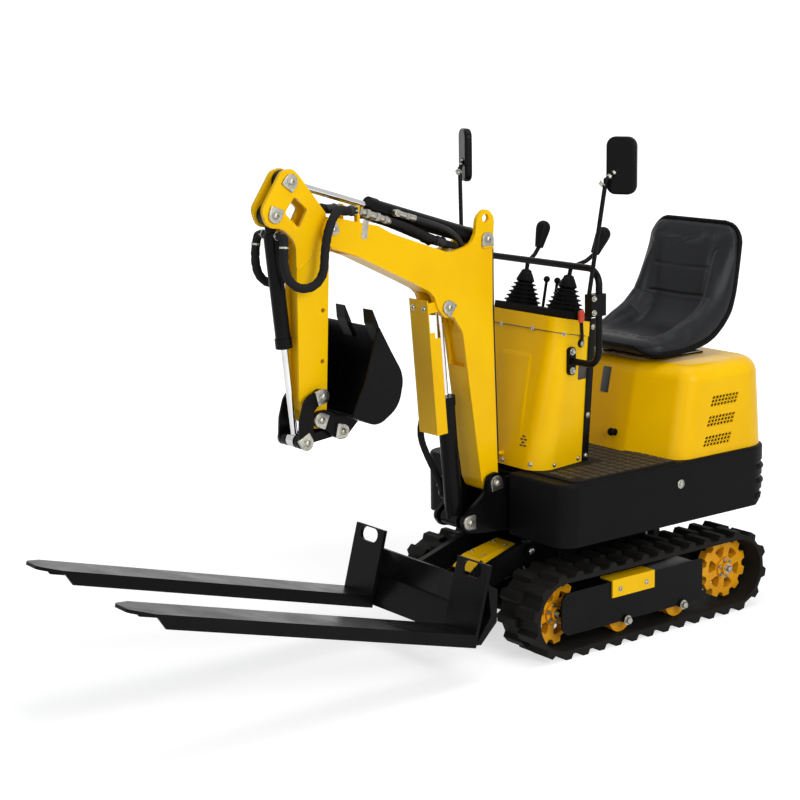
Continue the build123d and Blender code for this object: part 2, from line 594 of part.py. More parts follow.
save(joystick(1), "left_joystick")
save(joystick(-1), "right_joystick")

path = FilletPolyline((RAIL_X, 0, RAIL_Z), (RAIL_X, RAIL_Y, RAIL_Z), (RAIL_X, RAIL_Y, RAIL_FOOT_Z),
                      (RAIL_X, 150, RAIL_FOOT_Z), radius=RAIL_BEND)
rail = sweep(Plane(origin=path @ 0, z_dir=path % 0) * Circle(RAIL_R), path=path)
flange = RectangleRounded(30, 92, 14)
rail += Pos(RAIL_X, 0, RAIL_FOOT_Z) * (Plane.XZ * Pos(0, 0, -170) * extrude(flange, amount=-28))
rail = rail + mirrored(rail) - body
save(rail, "handrail")


def mirror_set(side):
    """Clamp on the rail, mirror stem and rounded mirror head."""
    clamp = block(RAIL_X - 16, RAIL_X + 46, RAIL_Y - 16, RAIL_Y + 16, 1092, 1162)
    clamp -= Pos(RAIL_X, RAIL_Y, 1127) * Cylinder(RAIL_R + SEATED, 200)
    foot, top, head = Vector(RAIL_X + 36, RAIL_Y - 8, 1155), Vector(212, 356, 1518), Vector(168, 380, 1561)
    stem = Plane(origin=foot, z_dir=top - foot)
    reach = Plane(origin=top, z_dir=head - top)
    low = (Align.CENTER, Align.CENTER, Align.MIN)
    made = clamp + stem * Cylinder(7, (top - foot).length, align=low) + Pos(*top) * Sphere(8)
    made += reach * Cylinder(7, (head - top).length, align=low)
    glass = extrude(Plane.YZ * RectangleRounded(98, 178, 30), amount=13, both=True)
    made += Pos(*head) * Rot(0, 0, 25) * fillet(glass.edges(), 9)
    return made if side > 0 else mirrored(made)


save(mirror_set(1), "left_mirror")
save(mirror_set(-1), "right_mirror")

# Boom: knee-shaped box with a fork nose, ears and a lobe for its cylinder
ax, az = ARM_PIVOT
outline = [(fx - 30, fz + 8, 26), (fx - 12, fz - 32, 26), (fx + 24, fz - 28, 26), (fx + 40, fz + 10, 30),
           (536, 1045, 60), (572, 1096, 30), (668, 1186, 60), (737, 1221, 200), (924, 1311, 100),
           (ax + 5, az - 56, 30), (ax + 34, az - 10, 34), (ax + 10, az + 34, 34), (ax - 17, az + 30, 20),
           (849, 1398, 60), (809, 1377, 60), (589, 1299, 60), (500, 1316, 50), (476, 1360, 20),
           (412, 1360, 20), (413, 1100, 300)]
boom = plate(outline, -BOOM_HALF, BOOM_HALF)
ear = [(411, 1290, 10), (488, 1290, 30), (476, 1400, 36), (440, 1432, 30), (404, 1400, 36)]
boom += plate(ear, BOOM_HALF - 14, BOOM_HALF)
low_ear = [(411, 1290, 10), (488, 1290, 30), (472, 1350, 26), (436, 1366, 24), (404, 1346, 26)]
boom += plate(low_ear, -BOOM_HALF, 14 - BOOM_HALF)
lobe = [(550, 1060, 10), (ux - 26, uz - 30, 20), (ux + 10, uz - 36, 30), (ux + 40, uz, 30), (660, 1200, 10),
        (560, 1200, 10)]
boom += twin(lobe, 26, BOOM_HALF)
gusset = [(ax + 5, az - 56, 30), (ax + 36, az - 10, 34), (ax + 10, az + 36, 34), (ax - 18, az + 32, 20),
          (849, 1401, 8), (860, 1380, 8), (900, 1372, 10), (932, 1316, 6)]
boom += twin(gusset, BOOM_HALF, BOOM_HALF + 4)
saddle = [(405, 1285, 4), (540, 1285, 30), (600, 1420, 4), (380, 1440, 4), (380, 1300, 4)]
boom -= plate(saddle, 14 - BOOM_HALF, BOOM_HALF - 14)
boom -= block(ax - 78, ax + 80, -ARM_HALF - 2, ARM_HALF + 2, az - 200, az + 100)
eye_room = [(ux - 70, 1000, 4), (ux + 90, 1000, 4), (ux + 90, 1150, 40), (ux + 40, 1210, 40),
            (ux - 30, 1210, 40), (ux - 76, 1150, 40)]
boom -= plate(eye_room, -26, 26)
gland_room = [(ux - 90, uz - 200, 4), (ux + 90, uz - 200, 4), (ux + 90, uz - 44, 4), (ux - 62, uz - 44, 4)]
boom -= plate(gland_room, -BARREL_R[0] - 8, BARREL_R[0] + 8)
for y0, y1 in ((30, 42), (-42, -30)):
    boom += rod_frame * block(20, GUARD_X - SEATED, y0, y1, -8, 24)
boom += rod_frame * block(GUARD_X - 10, GUARD_X - SEATED, -42, 42, -8, 24)
tab = HOSE_TAB[0]
for y0, y1 in ((HOSE_TAB[1] - 10, BOOM_HALF), (-BOOM_HALF, 10 - HOSE_TAB[1])):
    boom += block(tab - 10, tab - SEATED, y0, y1, HOSE_TAB[2] - 46, HOSE_TAB[2] + 14)
boom -= drum(BOOM_FOOT, PIN_R + 3 + FIT, -90, 90)
boom += drum(ARM_CYL_BASE, PIN_R, -BOOM_HALF, BOOM_HALF)
boom += drum(ARM_PIVOT, PIN_R + 2, -BOOM_HALF - 10, BOOM_HALF + 10)
boom -= drum((440, 1396), 13, 0, 80)
for y in (BOOM_HALF, -BOOM_HALF - 6):
    boom += drum(ARM_CYL_BASE, 18, y, y + 6) + drum(BOOM_CYL_EYE, 18, y, y + 6)
save(boom, "boom")

# Arm: box with a two-plate bracket for both cylinders and a round tip
qx, qz = ROCKER_PIVOT
hx, hz = BUCKET_HINGE
kx, kz = ARM_CYL_EYE
vx, vz = BUCKET_CYL_BASE
box = [(hx - 32, hz, 26), (hx - 18, hz - 28, 24), (hx + 18, hz - 28, 24), (hx + 34, hz, 30), (1151, 905, 20),
       (1147, 1346, 10), (1150, 1420, 10), (1060, 1450, 10), (ax + 12, az + 38, 30), (ax - 36, az + 20, 34),
       (ax - 34, az - 26, 34), (1030, 1340, 40), (1052, 880, 40)]
arm = plate(box, -ARM_HALF, ARM_HALF)
side = [(kx - 34, kz + 14, 30), (kx - 8, kz + 40, 28), (kx + 30, kz + 30, 30), (vx + 44, vz + 18, 34),
        (vx + 26, vz - 36, 34), (vx - 30, vz - 40, 60), (1148, 1372, 60), (1148, 1290, 6), (1096, 1330, 6),
        (ax + 30, az - 20, 20), (ax + 6, az + 44, 20)]
arm += twin(side, EAR_HALF, ARM_HALF)
hollow = [(1160, 1300), (1400, 1300), (1400, 1700), (ax + 20, 1700), (ax + 34, 1440, 10), (1120, 1390, 10),
          (1150, 1350, 8)]
arm -= plate(hollow, -EAR_HALF, EAR_HALF)
arm -= block(1135, 1200, -EAR_HALF - 4, EAR_HALF + 4, 850, 1360)
window = [(1148, 1511, 8), (1104, 1469, 8), (1135, 1416, 6), (1184, 1464, 10)]
arm -= plate(window, -60, 60)
arm -= drum(ARM_PIVOT, PIN_R + 2 + FIT, -60, 60)
arm -= drum(BUCKET_HINGE, PIN_R + FIT, -60, 60) + drum(ROCKER_PIVOT, PIN_R + FIT, -60, 60)
for hole in ((1057, 1165), (1064, 1012)):
    arm -= drum(hole, 7, -60, 60)
arm += drum(BUCKET_CYL_BASE, PIN_R, -ARM_HALF, ARM_HALF)
for y in (ARM_HALF, -ARM_HALF - 6):
    arm += drum(BUCKET_CYL_BASE, 18, y, y + 6) + drum(ARM_CYL_EYE, 18, y, y + 6)
save(arm, "arm")

# Rocker: two curved plates on one pin, with stubs that carry the link
jx, jz = ROCKER_JOINT
curve = [(qx + 14, qz + 22, 18), (qx - 22, qz + 12, 18), (qx - 14, qz - 20, 14), (qx + 30, qz - 34, 40),
         (qx + 34, qz - 110, 40), (jx - 26, jz - 8, 20), (jx, jz - 26, 20), (jx + 24, jz - 2, 22),
         (qx + 82, qz - 70, 60), (qx + 62, qz, 60)]
rocker = twin(curve, 50, 58)
rocker += drum(ROCKER_PIVOT, PIN_R, -58, 58)
for y0, y1 in ((22, 58), (-58, -22)):
    rocker += drum(ROCKER_JOINT, PIN_R, y0, y1)
for y in (58, -64):
    rocker += drum(ROCKER_PIVOT, 18, y, y + 6) + drum(ROCKER_JOINT, 18, y, y + 6)
for y0, y1 in ((ARM_HALF + 2, 52), (-52, -ARM_HALF - 2)):
    rocker += drum(ROCKER_PIVOT, 20, y0, y1)
save(rocker, "rocker")

# Link between the rocker and the bucket
lx, lz = BUCKET_LINK
reach = hypot(lx - jx, lz - jz)
slant = degrees(atan2(lz - jz, lx - jx))


def from_joint(d, h):
    """Point along and beside the link."""
    return turned(ROCKER_JOINT, d, h, slant)


link = drum(ROCKER_JOINT, 22, 24, 46) + drum(ROCKER_JOINT, 22, -46, -24) + drum(BUCKET_LINK, 22, -32, 32)
cheek = [from_joint(0, -14), from_joint(reach, -14), from_joint(reach, 14), from_joint(0, 14)]
web = [from_joint(42, -14), from_joint(reach, -14), from_joint(reach, 14), from_joint(42, 14)]
link += twin(cheek, 24, 32) + plate(web, -32, 32)
link -= drum(ROCKER_JOINT, PIN_R + FIT, -60, 60)
save(link, "link")

# Bucket: rolled shell with side plates, ears and teeth
shell_out = [(948, 1118, 4), (905, 1040, 80), (858, 960, 90), (880, 868, 90), (960, 818, 60),
             (hx - 44, hz + 16, 4)]
shell_in = [(hx - 48, hz + 24, 2), (962, 827, 52), (888, 872, 82), (867, 959, 82), (913, 1036, 80),
            (955, 1114, 2)]
bucket = plate(shell_out + shell_in, -BUCKET_HALF, BUCKET_HALF)
cheek = [(951, 1116, 4), (905, 1040, 80), (858, 960, 90), (880, 868, 90), (960, 818, 60),
         (hx - 44, hz + 16, 4),
         (hx - 40, hz + 26, 6), (1000, 960, 60)]
bucket += twin(cheek, BUCKET_HALF - 8, BUCKET_HALF)
hang = [(hx + 26, hz - 14, 22), (hx + 18, hz + 26, 24), (hx - 20, hz + 28, 20), (960, 840, 6), (925, 838, 6),
        (lx - 26, lz - 10, 20), (lx, lz - 28, 20), (lx + 30, lz - 14, 20), (hx - 20, hz - 34, 24)]
bucket += twin(hang, 36, 48)
bucket += drum(BUCKET_HINGE, PIN_R, -48, 48)
for y in (48, -54):
    bucket += drum(BUCKET_HINGE, 18, y, y + 6) + drum(BUCKET_LINK, 18, y, y + 6)
tooth = [(930, 1070, 2), (944, 1074, 2), (970, 1130, 6), (974, 1182, 2), (950, 1126, 10)]
for y in (-140, 0, 140):
    bucket += plate(tooth, y - 22, y + 22)
save(bucket, "bucket")


# Hoses that loop from the boom nose to the bucket cylinder, one on each side
def hose(route, r):
    """Tube of straight runs joined by arcs as large as the runs allow."""
    points = [Vector(*p) for p in route]
    radii = []
    for before, here, after in zip(points, points[1:], points[2:]):
        room = min((here - before).length, (after - here).length)
        radii.append(0.45 * room / tan(radians((here - before).get_angle(after - here)) / 2))
    path = FilletPolyline(*points, radius=radii)
    tube = sweep(Plane(origin=path @ 0, z_dir=path % 0) * Circle(r), path=path)
    print("hose radii", [round(v) for v in radii], "length", round(path.length),
          "volume share", round(tube.volume / (pi * r * r * path.length), 4))
    return tube


loop = [HOSE_TAB, (973, HOSE_TAB[1], HOSE_TAB[2]), (1008, 57, 1464), (1042, 74, 1446), (1066, 82, 1409),
        (1079, 85, 1367), (1085, 86, 1326), (1088, 86, 1289), (1108, 85, 1258), (1142, 83, 1243), (1181, 81, 1249),
        (1210, 79, 1275), (1221, 77, 1311), (1221, 76, 1348), (1217, 74, 1378), (port[0], 66, port[1]),
        (port[0], PORT_Y + SEATED, port[1])]
left_hose = hose(loop, HOSE_R)
save(left_hose, "left_bucket_hose")
save(mirrored(left_hose), "right_bucket_hose")
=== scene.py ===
"""Looks of the micro excavator with a dozer blade and two pallet forks.

Sizes are millimetres in the drawing frame: forward is +X, the machine's left is +Y, up is +Z, the ground is
Z = 0, and X is measured from the drawing's own zero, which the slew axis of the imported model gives.
"""
from __future__ import annotations

import json
import logging
import math
from dataclasses import dataclass, field
from enum import Enum

import bpy
import numpy as np
from mathutils import Matrix, Vector
from mathutils.bvhtree import BVHTree

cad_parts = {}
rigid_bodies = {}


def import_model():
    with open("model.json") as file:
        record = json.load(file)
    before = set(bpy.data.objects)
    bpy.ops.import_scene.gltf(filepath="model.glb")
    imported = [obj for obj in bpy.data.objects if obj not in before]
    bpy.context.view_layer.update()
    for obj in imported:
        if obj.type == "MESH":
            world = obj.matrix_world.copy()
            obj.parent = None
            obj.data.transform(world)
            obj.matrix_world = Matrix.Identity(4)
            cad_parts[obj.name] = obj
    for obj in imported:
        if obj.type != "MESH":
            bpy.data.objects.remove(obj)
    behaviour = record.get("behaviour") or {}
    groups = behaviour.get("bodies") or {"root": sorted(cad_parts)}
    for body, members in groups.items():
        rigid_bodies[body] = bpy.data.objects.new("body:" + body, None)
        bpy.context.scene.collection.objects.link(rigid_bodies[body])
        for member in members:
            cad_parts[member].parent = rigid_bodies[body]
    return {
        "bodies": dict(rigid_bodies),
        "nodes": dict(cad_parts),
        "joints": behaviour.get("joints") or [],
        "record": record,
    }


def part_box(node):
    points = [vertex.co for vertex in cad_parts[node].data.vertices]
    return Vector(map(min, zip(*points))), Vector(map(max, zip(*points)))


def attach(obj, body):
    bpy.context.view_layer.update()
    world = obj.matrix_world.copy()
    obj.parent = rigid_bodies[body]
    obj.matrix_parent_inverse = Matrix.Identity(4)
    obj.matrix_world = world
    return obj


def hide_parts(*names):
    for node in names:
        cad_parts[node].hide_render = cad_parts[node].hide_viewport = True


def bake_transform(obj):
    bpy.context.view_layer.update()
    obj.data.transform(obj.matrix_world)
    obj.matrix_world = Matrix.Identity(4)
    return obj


LOG = logging.getLogger("excavator")
MM = 0.001
SLEW_X = -37.0
FAR_AHEAD = 700.0
FAR_LEFT = 500.0
IMAGE_SIDE = 800
UP = np.array([0.0, 0.0, 1.0])
LEFT = np.array([0.0, 1.0, 0.0])
AHEAD = np.array([1.0, 0.0, 0.0])
FLIP = np.array([1.0, -1.0, 1.0])

Array = np.ndarray
Point = tuple[float, float, float]
FROM_LEFT: Point = (0.0, -1.0, 0.0)
FROM_AHEAD: Point = (-1.0, 0.0, 0.0)
FROM_ABOVE: Point = (0.0, 0.0, -1.0)


class Slot(Enum):
    """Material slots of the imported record."""

    YELLOW = "yellow_paint"
    ORANGE = "orange_paint"
    BLACK = "black_paint"
    PLASTIC = "black_plastic"
    RUBBER = "rubber"
    CHROME = "chrome"
    VINYL = "seat_vinyl"
    IRON = "engine_iron"


class Body(Enum):
    """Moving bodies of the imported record."""

    UNDERCARRIAGE = "undercarriage"
    HOUSE = "house"
    BLADE = "blade_assembly"
    BOOM = "boom_body"
    BOOM_BARREL = "boom_barrel"
    ARM = "arm_body"
    ARM_BARREL = "arm_barrel"
    ARM_ROD = "arm_rod"
    BUCKET_BARREL = "bucket_barrel"
    ROCKER = "rocker_body"
    BUCKET = "bucket_body"


def linear(hex_colour: str) -> tuple[float, float, float, float]:
    """Linear RGBA of an sRGB hex colour.

    Args:
        hex_colour: Six hex digits after a hash sign.

    Returns:
        The colour in linear light with an alpha of one.
    """
    srgb = np.array([int(hex_colour[i:i + 2], 16) for i in (1, 3, 5)]) / 255.0
    light = np.where(srgb <= 0.04045, srgb / 12.92, ((srgb + 0.055) / 1.055) ** 2.4)
    return (float(light[0]), float(light[1]), float(light[2]), 1.0)


def add_node(tree: bpy.types.NodeTree, kind: str, links: dict, **settings) -> bpy.types.Node:
    """Add one shader node with its settings and the links into it.

    Args:
        tree: The node tree that gets the node.
        kind: Blender's type name of the node.
        links: Input name or number to an output socket or a plain value.
        settings: Properties of the node itself.

    Returns:
        The new node.
    """
    made = tree.nodes.new(kind)
    for key, value in settings.items():
        setattr(made, key, value)
    for key, value in links.items():
        socket = made.inputs[key]
        if isinstance(value, bpy.types.NodeSocket):
            tree.links.new(value, socket)
        else:
            socket.default_value = value
    return made


def per_metre(size_mm: float) -> float:
    """Noise scale on Object coordinates for a feature of a size in millimetres."""
    return 1000.0 / size_mm


@dataclass(frozen=True)
class Finish:
    """A surface finish: a tone that drifts between two colours, a fine relief and a gloss range.

    Attributes:
        name: Common name of the material and how it was made.
        slot: Record slot that pieces with this finish take.
        colour: Main colour.
        drift: Second colour, that broad patches lean towards.
        drift_mm: Size of those patches.
        drift_share: How far the patches lean, from 0 to 1.
        relief_mm: Size of the fine relief.
        relief: Strength of the relief's bump.
        relief_depth_mm: Depth of the relief.
        gloss: Lowest and highest roughness.
        metallic: One for bare metal.
        coat: Weight of the clear coat.
        coat_roughness: Roughness of that coat.
        sheen: Weight of the soft edge light of cloth and vinyl.
        specular: Strength of the plain mirror light of the surface.
        cells: True for a grain of cells, as in leather cloth, and not a soft noise.
    """

    name: str
    slot: Slot
    colour: str
    drift: str
    drift_mm: float = 140.0
    drift_share: float = 0.5
    relief_mm: float = 4.0
    relief: float = 0.1
    relief_depth_mm: float = 0.2
    gloss: tuple[float, float] = (0.3, 0.4)
    metallic: float = 0.0
    coat: float = 0.0
    coat_roughness: float = 0.1
    sheen: float = 0.0
    specular: float = 0.5
    cells: bool = False

    def material(self) -> bpy.types.Material:
        """Blender material of this finish, made once."""
        found = bpy.data.materials.get(self.name)
        if found is not None:
            return found
        made = bpy.data.materials.new(self.name)
        made.use_nodes = True
        self.shade(made.node_tree, made.node_tree.nodes["Principled BSDF"])
        return made

    def shade(self, tree: bpy.types.NodeTree, shader: bpy.types.Node) -> None:
        """Build the node tree.

        Args:
            tree: Node tree of the material.
            shader: Its principled shader.
        """
        place = add_node(tree, "ShaderNodeTexCoord", {}).outputs["Object"]
        patches = add_node(tree, "ShaderNodeTexNoise", {
            "Vector": place, "Scale": per_metre(self.drift_mm), "Detail": 3.0, "Roughness": 0.55})
        lean = add_node(tree, "ShaderNodeMapRange", {
            "Value": patches.outputs["Fac"], "From Min": 0.35, "From Max": 0.7, "To Min": 0.0,
            "To Max": self.drift_share})
        tone = add_node(tree, "ShaderNodeMix", {
            "Factor": lean.outputs["Result"], "A": linear(self.colour), "B": linear(self.drift)},
            data_type="RGBA")
        tree.links.new(tone.outputs[2], shader.inputs["Base Color"])
        if self.cells:
            fine = add_node(tree, "ShaderNodeTexVoronoi", {
                "Vector": place, "Scale": per_metre(self.relief_mm)}, feature="SMOOTH_F1")
            height = fine.outputs["Distance"]
        else:
            fine = add_node(tree, "ShaderNodeTexNoise", {
                "Vector": place, "Scale": per_metre(self.relief_mm), "Detail": 2.0})
            height = fine.outputs["Fac"]
        rough = add_node(tree, "ShaderNodeMapRange", {
            "Value": patches.outputs["Fac"], "From Min": 0.3, "From Max": 0.7, "To Min": self.gloss[0],
            "To Max": self.gloss[1]})
        tree.links.new(rough.outputs["Result"], shader.inputs["Roughness"])
        bump = add_node(tree, "ShaderNodeBump", {
            "Height": height, "Strength": self.relief, "Distance": self.relief_depth_mm * MM})
        tree.links.new(bump.outputs["Normal"], shader.inputs["Normal"])
        for socket, value in (("Metallic", self.metallic), ("Coat Weight", self.coat),
                              ("Coat Roughness", self.coat_roughness), ("Sheen Weight", self.sheen),
                              ("Specular IOR Level", self.specular)):
            shader.inputs[socket].default_value = value


# Sprayed gloss enamel on steel: deep even yellow with a faint orange peel under a clear gloss
YELLOW_ENAMEL = Finish("yellow gloss enamel on steel", Slot.YELLOW, "#F0BE00", "#E6AC00", 260.0, 0.6, 7.0,
                       0.05, 0.15, (0.3, 0.4), coat=0.06, coat_roughness=0.1, specular=0.1)
# The wheels' thicker coat leans to orange and is duller where the belt rubs it
ORANGE_ENAMEL = Finish("orange yellow enamel on castings", Slot.ORANGE, "#EBA61A", "#D2880C", 60.0, 0.7,
                       5.0, 0.12, 0.3, (0.32, 0.5), coat=0.04, coat_roughness=0.15, specular=0.12)
# Satin black paint on plate: soft highlights, slightly streaked
BLACK_ENAMEL = Finish("satin black enamel on plate", Slot.BLACK, "#0A0A0B", "#121113", 120.0, 0.7, 5.0, 0.07,
                      0.2, (0.24, 0.38), coat=0.03, coat_roughness=0.16, specular=0.06)
# Moulded plastic with a spark-eroded texture: fine pebbles and a dull even gloss
MOULDED_PLASTIC = Finish("moulded black plastic", Slot.PLASTIC, "#0C0C0D", "#131315", 180.0, 0.6, 2.4, 0.22,
                         0.25, (0.42, 0.54), specular=0.05, cells=True)
# Vulcanised rubber: grey-black and dull, with dust in the pits
TRACK_RUBBER = Finish("vulcanised track rubber", Slot.RUBBER, "#131312", "#201D19", 70.0, 0.6, 6.0, 0.3,
                      0.5, (0.6, 0.8), specular=0.1)
# Rubber floor mat: its warm brown tone is a painted reflection of the yellow paint around it
MAT_RUBBER_PAINTED_REFLECTION = Finish("ribbed mat rubber with painted yellow reflection", Slot.RUBBER, "#2A241C", "#3A3122", 90.0, 0.8, 3.0, 0.3, 0.3,
                    (0.5, 0.68), specular=0.25)
# Hard chrome on ground steel rod
HARD_CHROME = Finish("hard chrome on rod", Slot.CHROME, "#C4C4C2", "#B2B4B6", 90.0, 0.5, 1.6, 0.03, 0.05,
                     (0.07, 0.14), metallic=1.0)
# Bright zinc plate on fasteners: pale, slightly cloudy
ZINC_PLATE = Finish("bright zinc plate", Slot.CHROME, "#B2B0A6", "#86847C", 9.0, 0.9, 2.0, 0.2, 0.15,
                    (0.24, 0.42), metallic=1.0)
# Grained vinyl skin over foam
SEAT_VINYL = Finish("grained seat vinyl", Slot.VINYL, "#131417", "#1A1B1E", 110.0, 0.6, 2.8, 0.25, 0.3,
                    (0.36, 0.5), sheen=0.02, specular=0.17, cells=True)
# Grey engine iron, oily and dull
ENGINE_IRON = Finish("cast engine iron", Slot.IRON, "#3A3B3D", "#2A2A2B", 60.0, 0.7, 6.0, 0.4, 0.6,
                     (0.5, 0.7), metallic=0.6)
# Braided textile sleeve over hose, matt with a coarse weave
HOSE_SLEEVE = Finish("braided hose sleeve", Slot.RUBBER, "#131314", "#1D1C1D", 30.0, 0.7, 3.2, 0.6, 0.6,
                     (0.68, 0.85), specular=0.15, cells=True)
# Extruded rubber hose cover: smooth, black and a little shiny
HOSE_RUBBER = Finish("extruded hose rubber", Slot.RUBBER, "#101011", "#181818", 40.0, 0.6, 2.5, 0.15, 0.2,
                     (0.42, 0.56), specular=0.25)
# Moulded red-orange grip of the throttle lever
RED_GRIP = Finish("moulded red grip", Slot.PLASTIC, "#CF3E1A", "#B93412", 20.0, 0.5, 2.0, 0.15, 0.2,
                  (0.38, 0.5))
# Dark anodised blank plates; the same dark finish is painted shade inside the console's slots and in the gap
# under its lid
DARK_PLATE_AND_SLOT_SHADE = Finish("dark anodised plate and painted slot shade", Slot.BLACK, "#1B1C1E", "#26272A", 20.0, 0.6, 1.5, 0.1, 0.1,
                     (0.3, 0.42))
# Silvered glass of the mirrors
SILVERED_GLASS = Finish("silvered mirror glass", Slot.CHROME, "#C9D0D6", "#BCC4CC", 200.0, 0.4, 40.0, 0.01,
                        0.02, (0.02, 0.04), metallic=1.0)


@dataclass
class Surface:
    """A shape as whole arrays, in millimetres of the drawing.

    Attributes:
        points: Corner points, one row each.
        tables: Face tables, each with one face per row and the same count of corners.
    """

    points: Array
    tables: list[Array]

    @staticmethod
    def grid(lattice: Array, wrap_rows: bool = False, wrap_columns: bool = False) -> "Surface":
        """Quads between neighbours of a lattice of points.

        Args:
            lattice: Points as (rows, columns, 3).
            wrap_rows: Join the last row to the first.
            wrap_columns: Join the last column to the first.

        Returns:
            The surface, its faces turning from columns to rows.
        """
        rows, columns = lattice.shape[:2]
        i, j = np.meshgrid(np.arange(rows if wrap_rows else rows - 1),
                           np.arange(columns if wrap_columns else columns - 1), indexing="ij")
        below, beside = (i + 1) % rows, (j + 1) % columns
        quads = np.stack([i * columns + j, i * columns + beside,
                          below * columns + beside, below * columns + j], -1)
        return Surface(lattice.reshape(-1, 3), [quads.reshape(-1, 4)])

    @staticmethod
    def rings(lattice: Array) -> "Surface":
        """Closed body through a stack of rings, (rings, corners, 3), with a flat cap at each end."""
        made = Surface.grid(lattice, wrap_columns=True)
        rows, columns = lattice.shape[:2]
        first = np.arange(columns)[::-1][None]
        last = np.arange(columns)[None] + (rows - 1) * columns
        made.tables += [first, last]
        return made

    @staticmethod
    def joined(parts: list["Surface"]) -> "Surface":
        """One surface of several, with their points stacked."""
        starts = np.cumsum([0] + [len(p.points) for p in parts[:-1]])
        tables = [table + start for part, start in zip(parts, starts) for table in part.tables]
        return Surface(np.concatenate([p.points for p in parts]), tables)

    def placed(self, place: Array) -> "Surface":
        """Copy of the surface moved by a 4 by 4 place."""
        return Surface(self.points @ place[:3, :3].T + place[:3, 3], list(self.tables))

    def copies(self, places: Array) -> "Surface":
        """One surface with a copy at each of the (count, 4, 4) places."""
        moved = np.einsum("kij,nj->kni", places[:, :3, :3], self.points) + places[:, None, :3, 3]
        count = len(self.points)
        starts = np.arange(len(places)) * count
        tables = [(t[None] + starts[:, None, None]).reshape(-1, t.shape[1]) for t in self.tables]
        return Surface(moved.reshape(-1, 3), tables)

    def mirrored(self) -> "Surface":
        """Reflection in the machine's middle plane, with its faces turned back outwards."""
        return Surface(self.points * FLIP, [t[:, ::-1] for t in self.tables])

    def paired(self) -> "Surface":
        """One surface of this one and its reflection."""
        return Surface.joined([self, self.mirrored()])


def revolved(profile: list[tuple[float, float]], steps: int = 28) -> Surface:
    """Turned shape: each (radius, height) of the profile goes once round the local Z axis.

    Args:
        profile: Radius and height pairs from the bottom cap to the top cap.
        steps: Corners of each ring.

    Returns:
        The closed surface.
    """
    radius, height = np.array(profile, float).T
    turn = np.linspace(0.0, 2.0 * np.pi, steps, endpoint=False)
    lattice = np.stack([radius[:, None] * np.cos(turn), radius[:, None] * np.sin(turn),
                        np.broadcast_to(height[:, None], (len(radius), steps))], -1)
    return Surface.rings(lattice)


def rounded(corners: list[tuple[float, float, float]], steps: int = 7) -> Array:
    """Closed outline with an arc of each corner's radius: tangent points, then points on the arc.

    Args:
        corners: Corner places and radii, anticlockwise.
        steps: Points on each arc.

    Returns:
        The outline as (points, 2).
    """
    data = np.array(corners, float)
    spot, radius = data[:, :2], data[:, 2]
    back = np.roll(spot, 1, 0) - spot
    ahead = np.roll(spot, -1, 0) - spot
    back /= np.linalg.norm(back, axis=1)[:, None]
    ahead /= np.linalg.norm(ahead, axis=1)[:, None]
    half = np.arccos(np.clip((back * ahead).sum(1), -1, 1)) / 2
    middle = back + ahead
    middle /= np.linalg.norm(middle, axis=1)[:, None]
    centre = spot + middle * (radius / np.sin(half))[:, None]
    start = spot + back * (radius / np.tan(half))[:, None] - centre
    sweep = (np.pi - 2 * half) * np.sign(back[:, 1] * ahead[:, 0] - back[:, 0] * ahead[:, 1])
    turn = sweep[:, None] * np.linspace(0, 1, steps)[None]
    x = centre[:, :1] + start[:, :1] * np.cos(turn) - start[:, 1:] * np.sin(turn)
    y = centre[:, 1:] + start[:, :1] * np.sin(turn) + start[:, 1:] * np.cos(turn)
    return np.stack([x, y], -1).reshape(-1, 2)


def plate(outline: Array, thickness: float, edge: float = 1.0) -> Surface:
    """Flat plate on the local XY plane: rings of the outline, drawn in on a quarter arc at the upper rim.

    Args:
        outline: Anticlockwise outline, (points, 2).
        thickness: Height of the plate.
        edge: Radius of the upper rim.

    Returns:
        The closed plate.
    """
    along = np.roll(outline, -1, 0) - np.roll(outline, 1, 0)
    inward = np.stack([-along[:, 1], along[:, 0]], -1)
    inward /= np.linalg.norm(inward, axis=1)[:, None]
    turn = np.linspace(0, np.pi / 2, 4)
    draw = np.concatenate([[0.0], edge * (1 - np.cos(turn))])
    height = np.concatenate([[0.0], thickness - edge + edge * np.sin(turn)])
    flat = outline[None] + inward[None] * draw[:, None, None]
    tall = np.broadcast_to(height[:, None, None], flat.shape[:2] + (1,))
    return Surface.rings(np.concatenate([flat, tall], -1))


def swept(profile: Array, path: Array, side: Array = LEFT, scale: Array | None = None,
          closed: bool = False) -> Surface:
    """Profile carried along a path: it lies across the path, with its first axis towards the given side.

    Args:
        profile: Closed profile as (corners, 2).
        path: Path as (points, 3).
        side: Direction that the profile's first axis leans to.
        scale: Size of the profile at each point of the path.
        closed: Join the path's end to its start.

    Returns:
        The swept surface, capped where the path is open.
    """
    if closed:
        along = np.roll(path, -1, 0) - np.roll(path, 1, 0)
    else:
        along = np.gradient(path, axis=0)
    along /= np.linalg.norm(along, axis=1)[:, None]
    first = side[None] - along * (along @ side)[:, None]
    first /= np.linalg.norm(first, axis=1)[:, None]
    second = np.cross(along, first)
    size = np.ones(len(path)) if scale is None else scale
    lattice = path[:, None] + size[:, None, None] * (profile[None, :, :1] * first[:, None]
                                                     + profile[None, :, 1:] * second[:, None])
    return Surface.grid(lattice, True, True) if closed else Surface.rings(lattice)


def way_along(points: Array) -> Array:
    """Distance of each point of a line from its start, measured along the line."""
    return np.concatenate([[0], np.cumsum(np.linalg.norm(np.diff(points, axis=0), axis=1))])


def circle(radius: float, steps: int = 14) -> Array:
    """Round profile of a radius."""
    turn = np.linspace(0, 2 * np.pi, steps, endpoint=False)
    return radius * np.stack([np.cos(turn), np.sin(turn)], -1)


def hexagon(across: float) -> list[tuple[float, float, float]]:
    """Corners of a hexagon with a size across its flats, each barely rounded."""
    reach = across / math.sqrt(3)
    turn = np.arange(6) * np.pi / 3
    return [(reach * math.cos(t), reach * math.sin(t), across * 0.04) for t in turn]


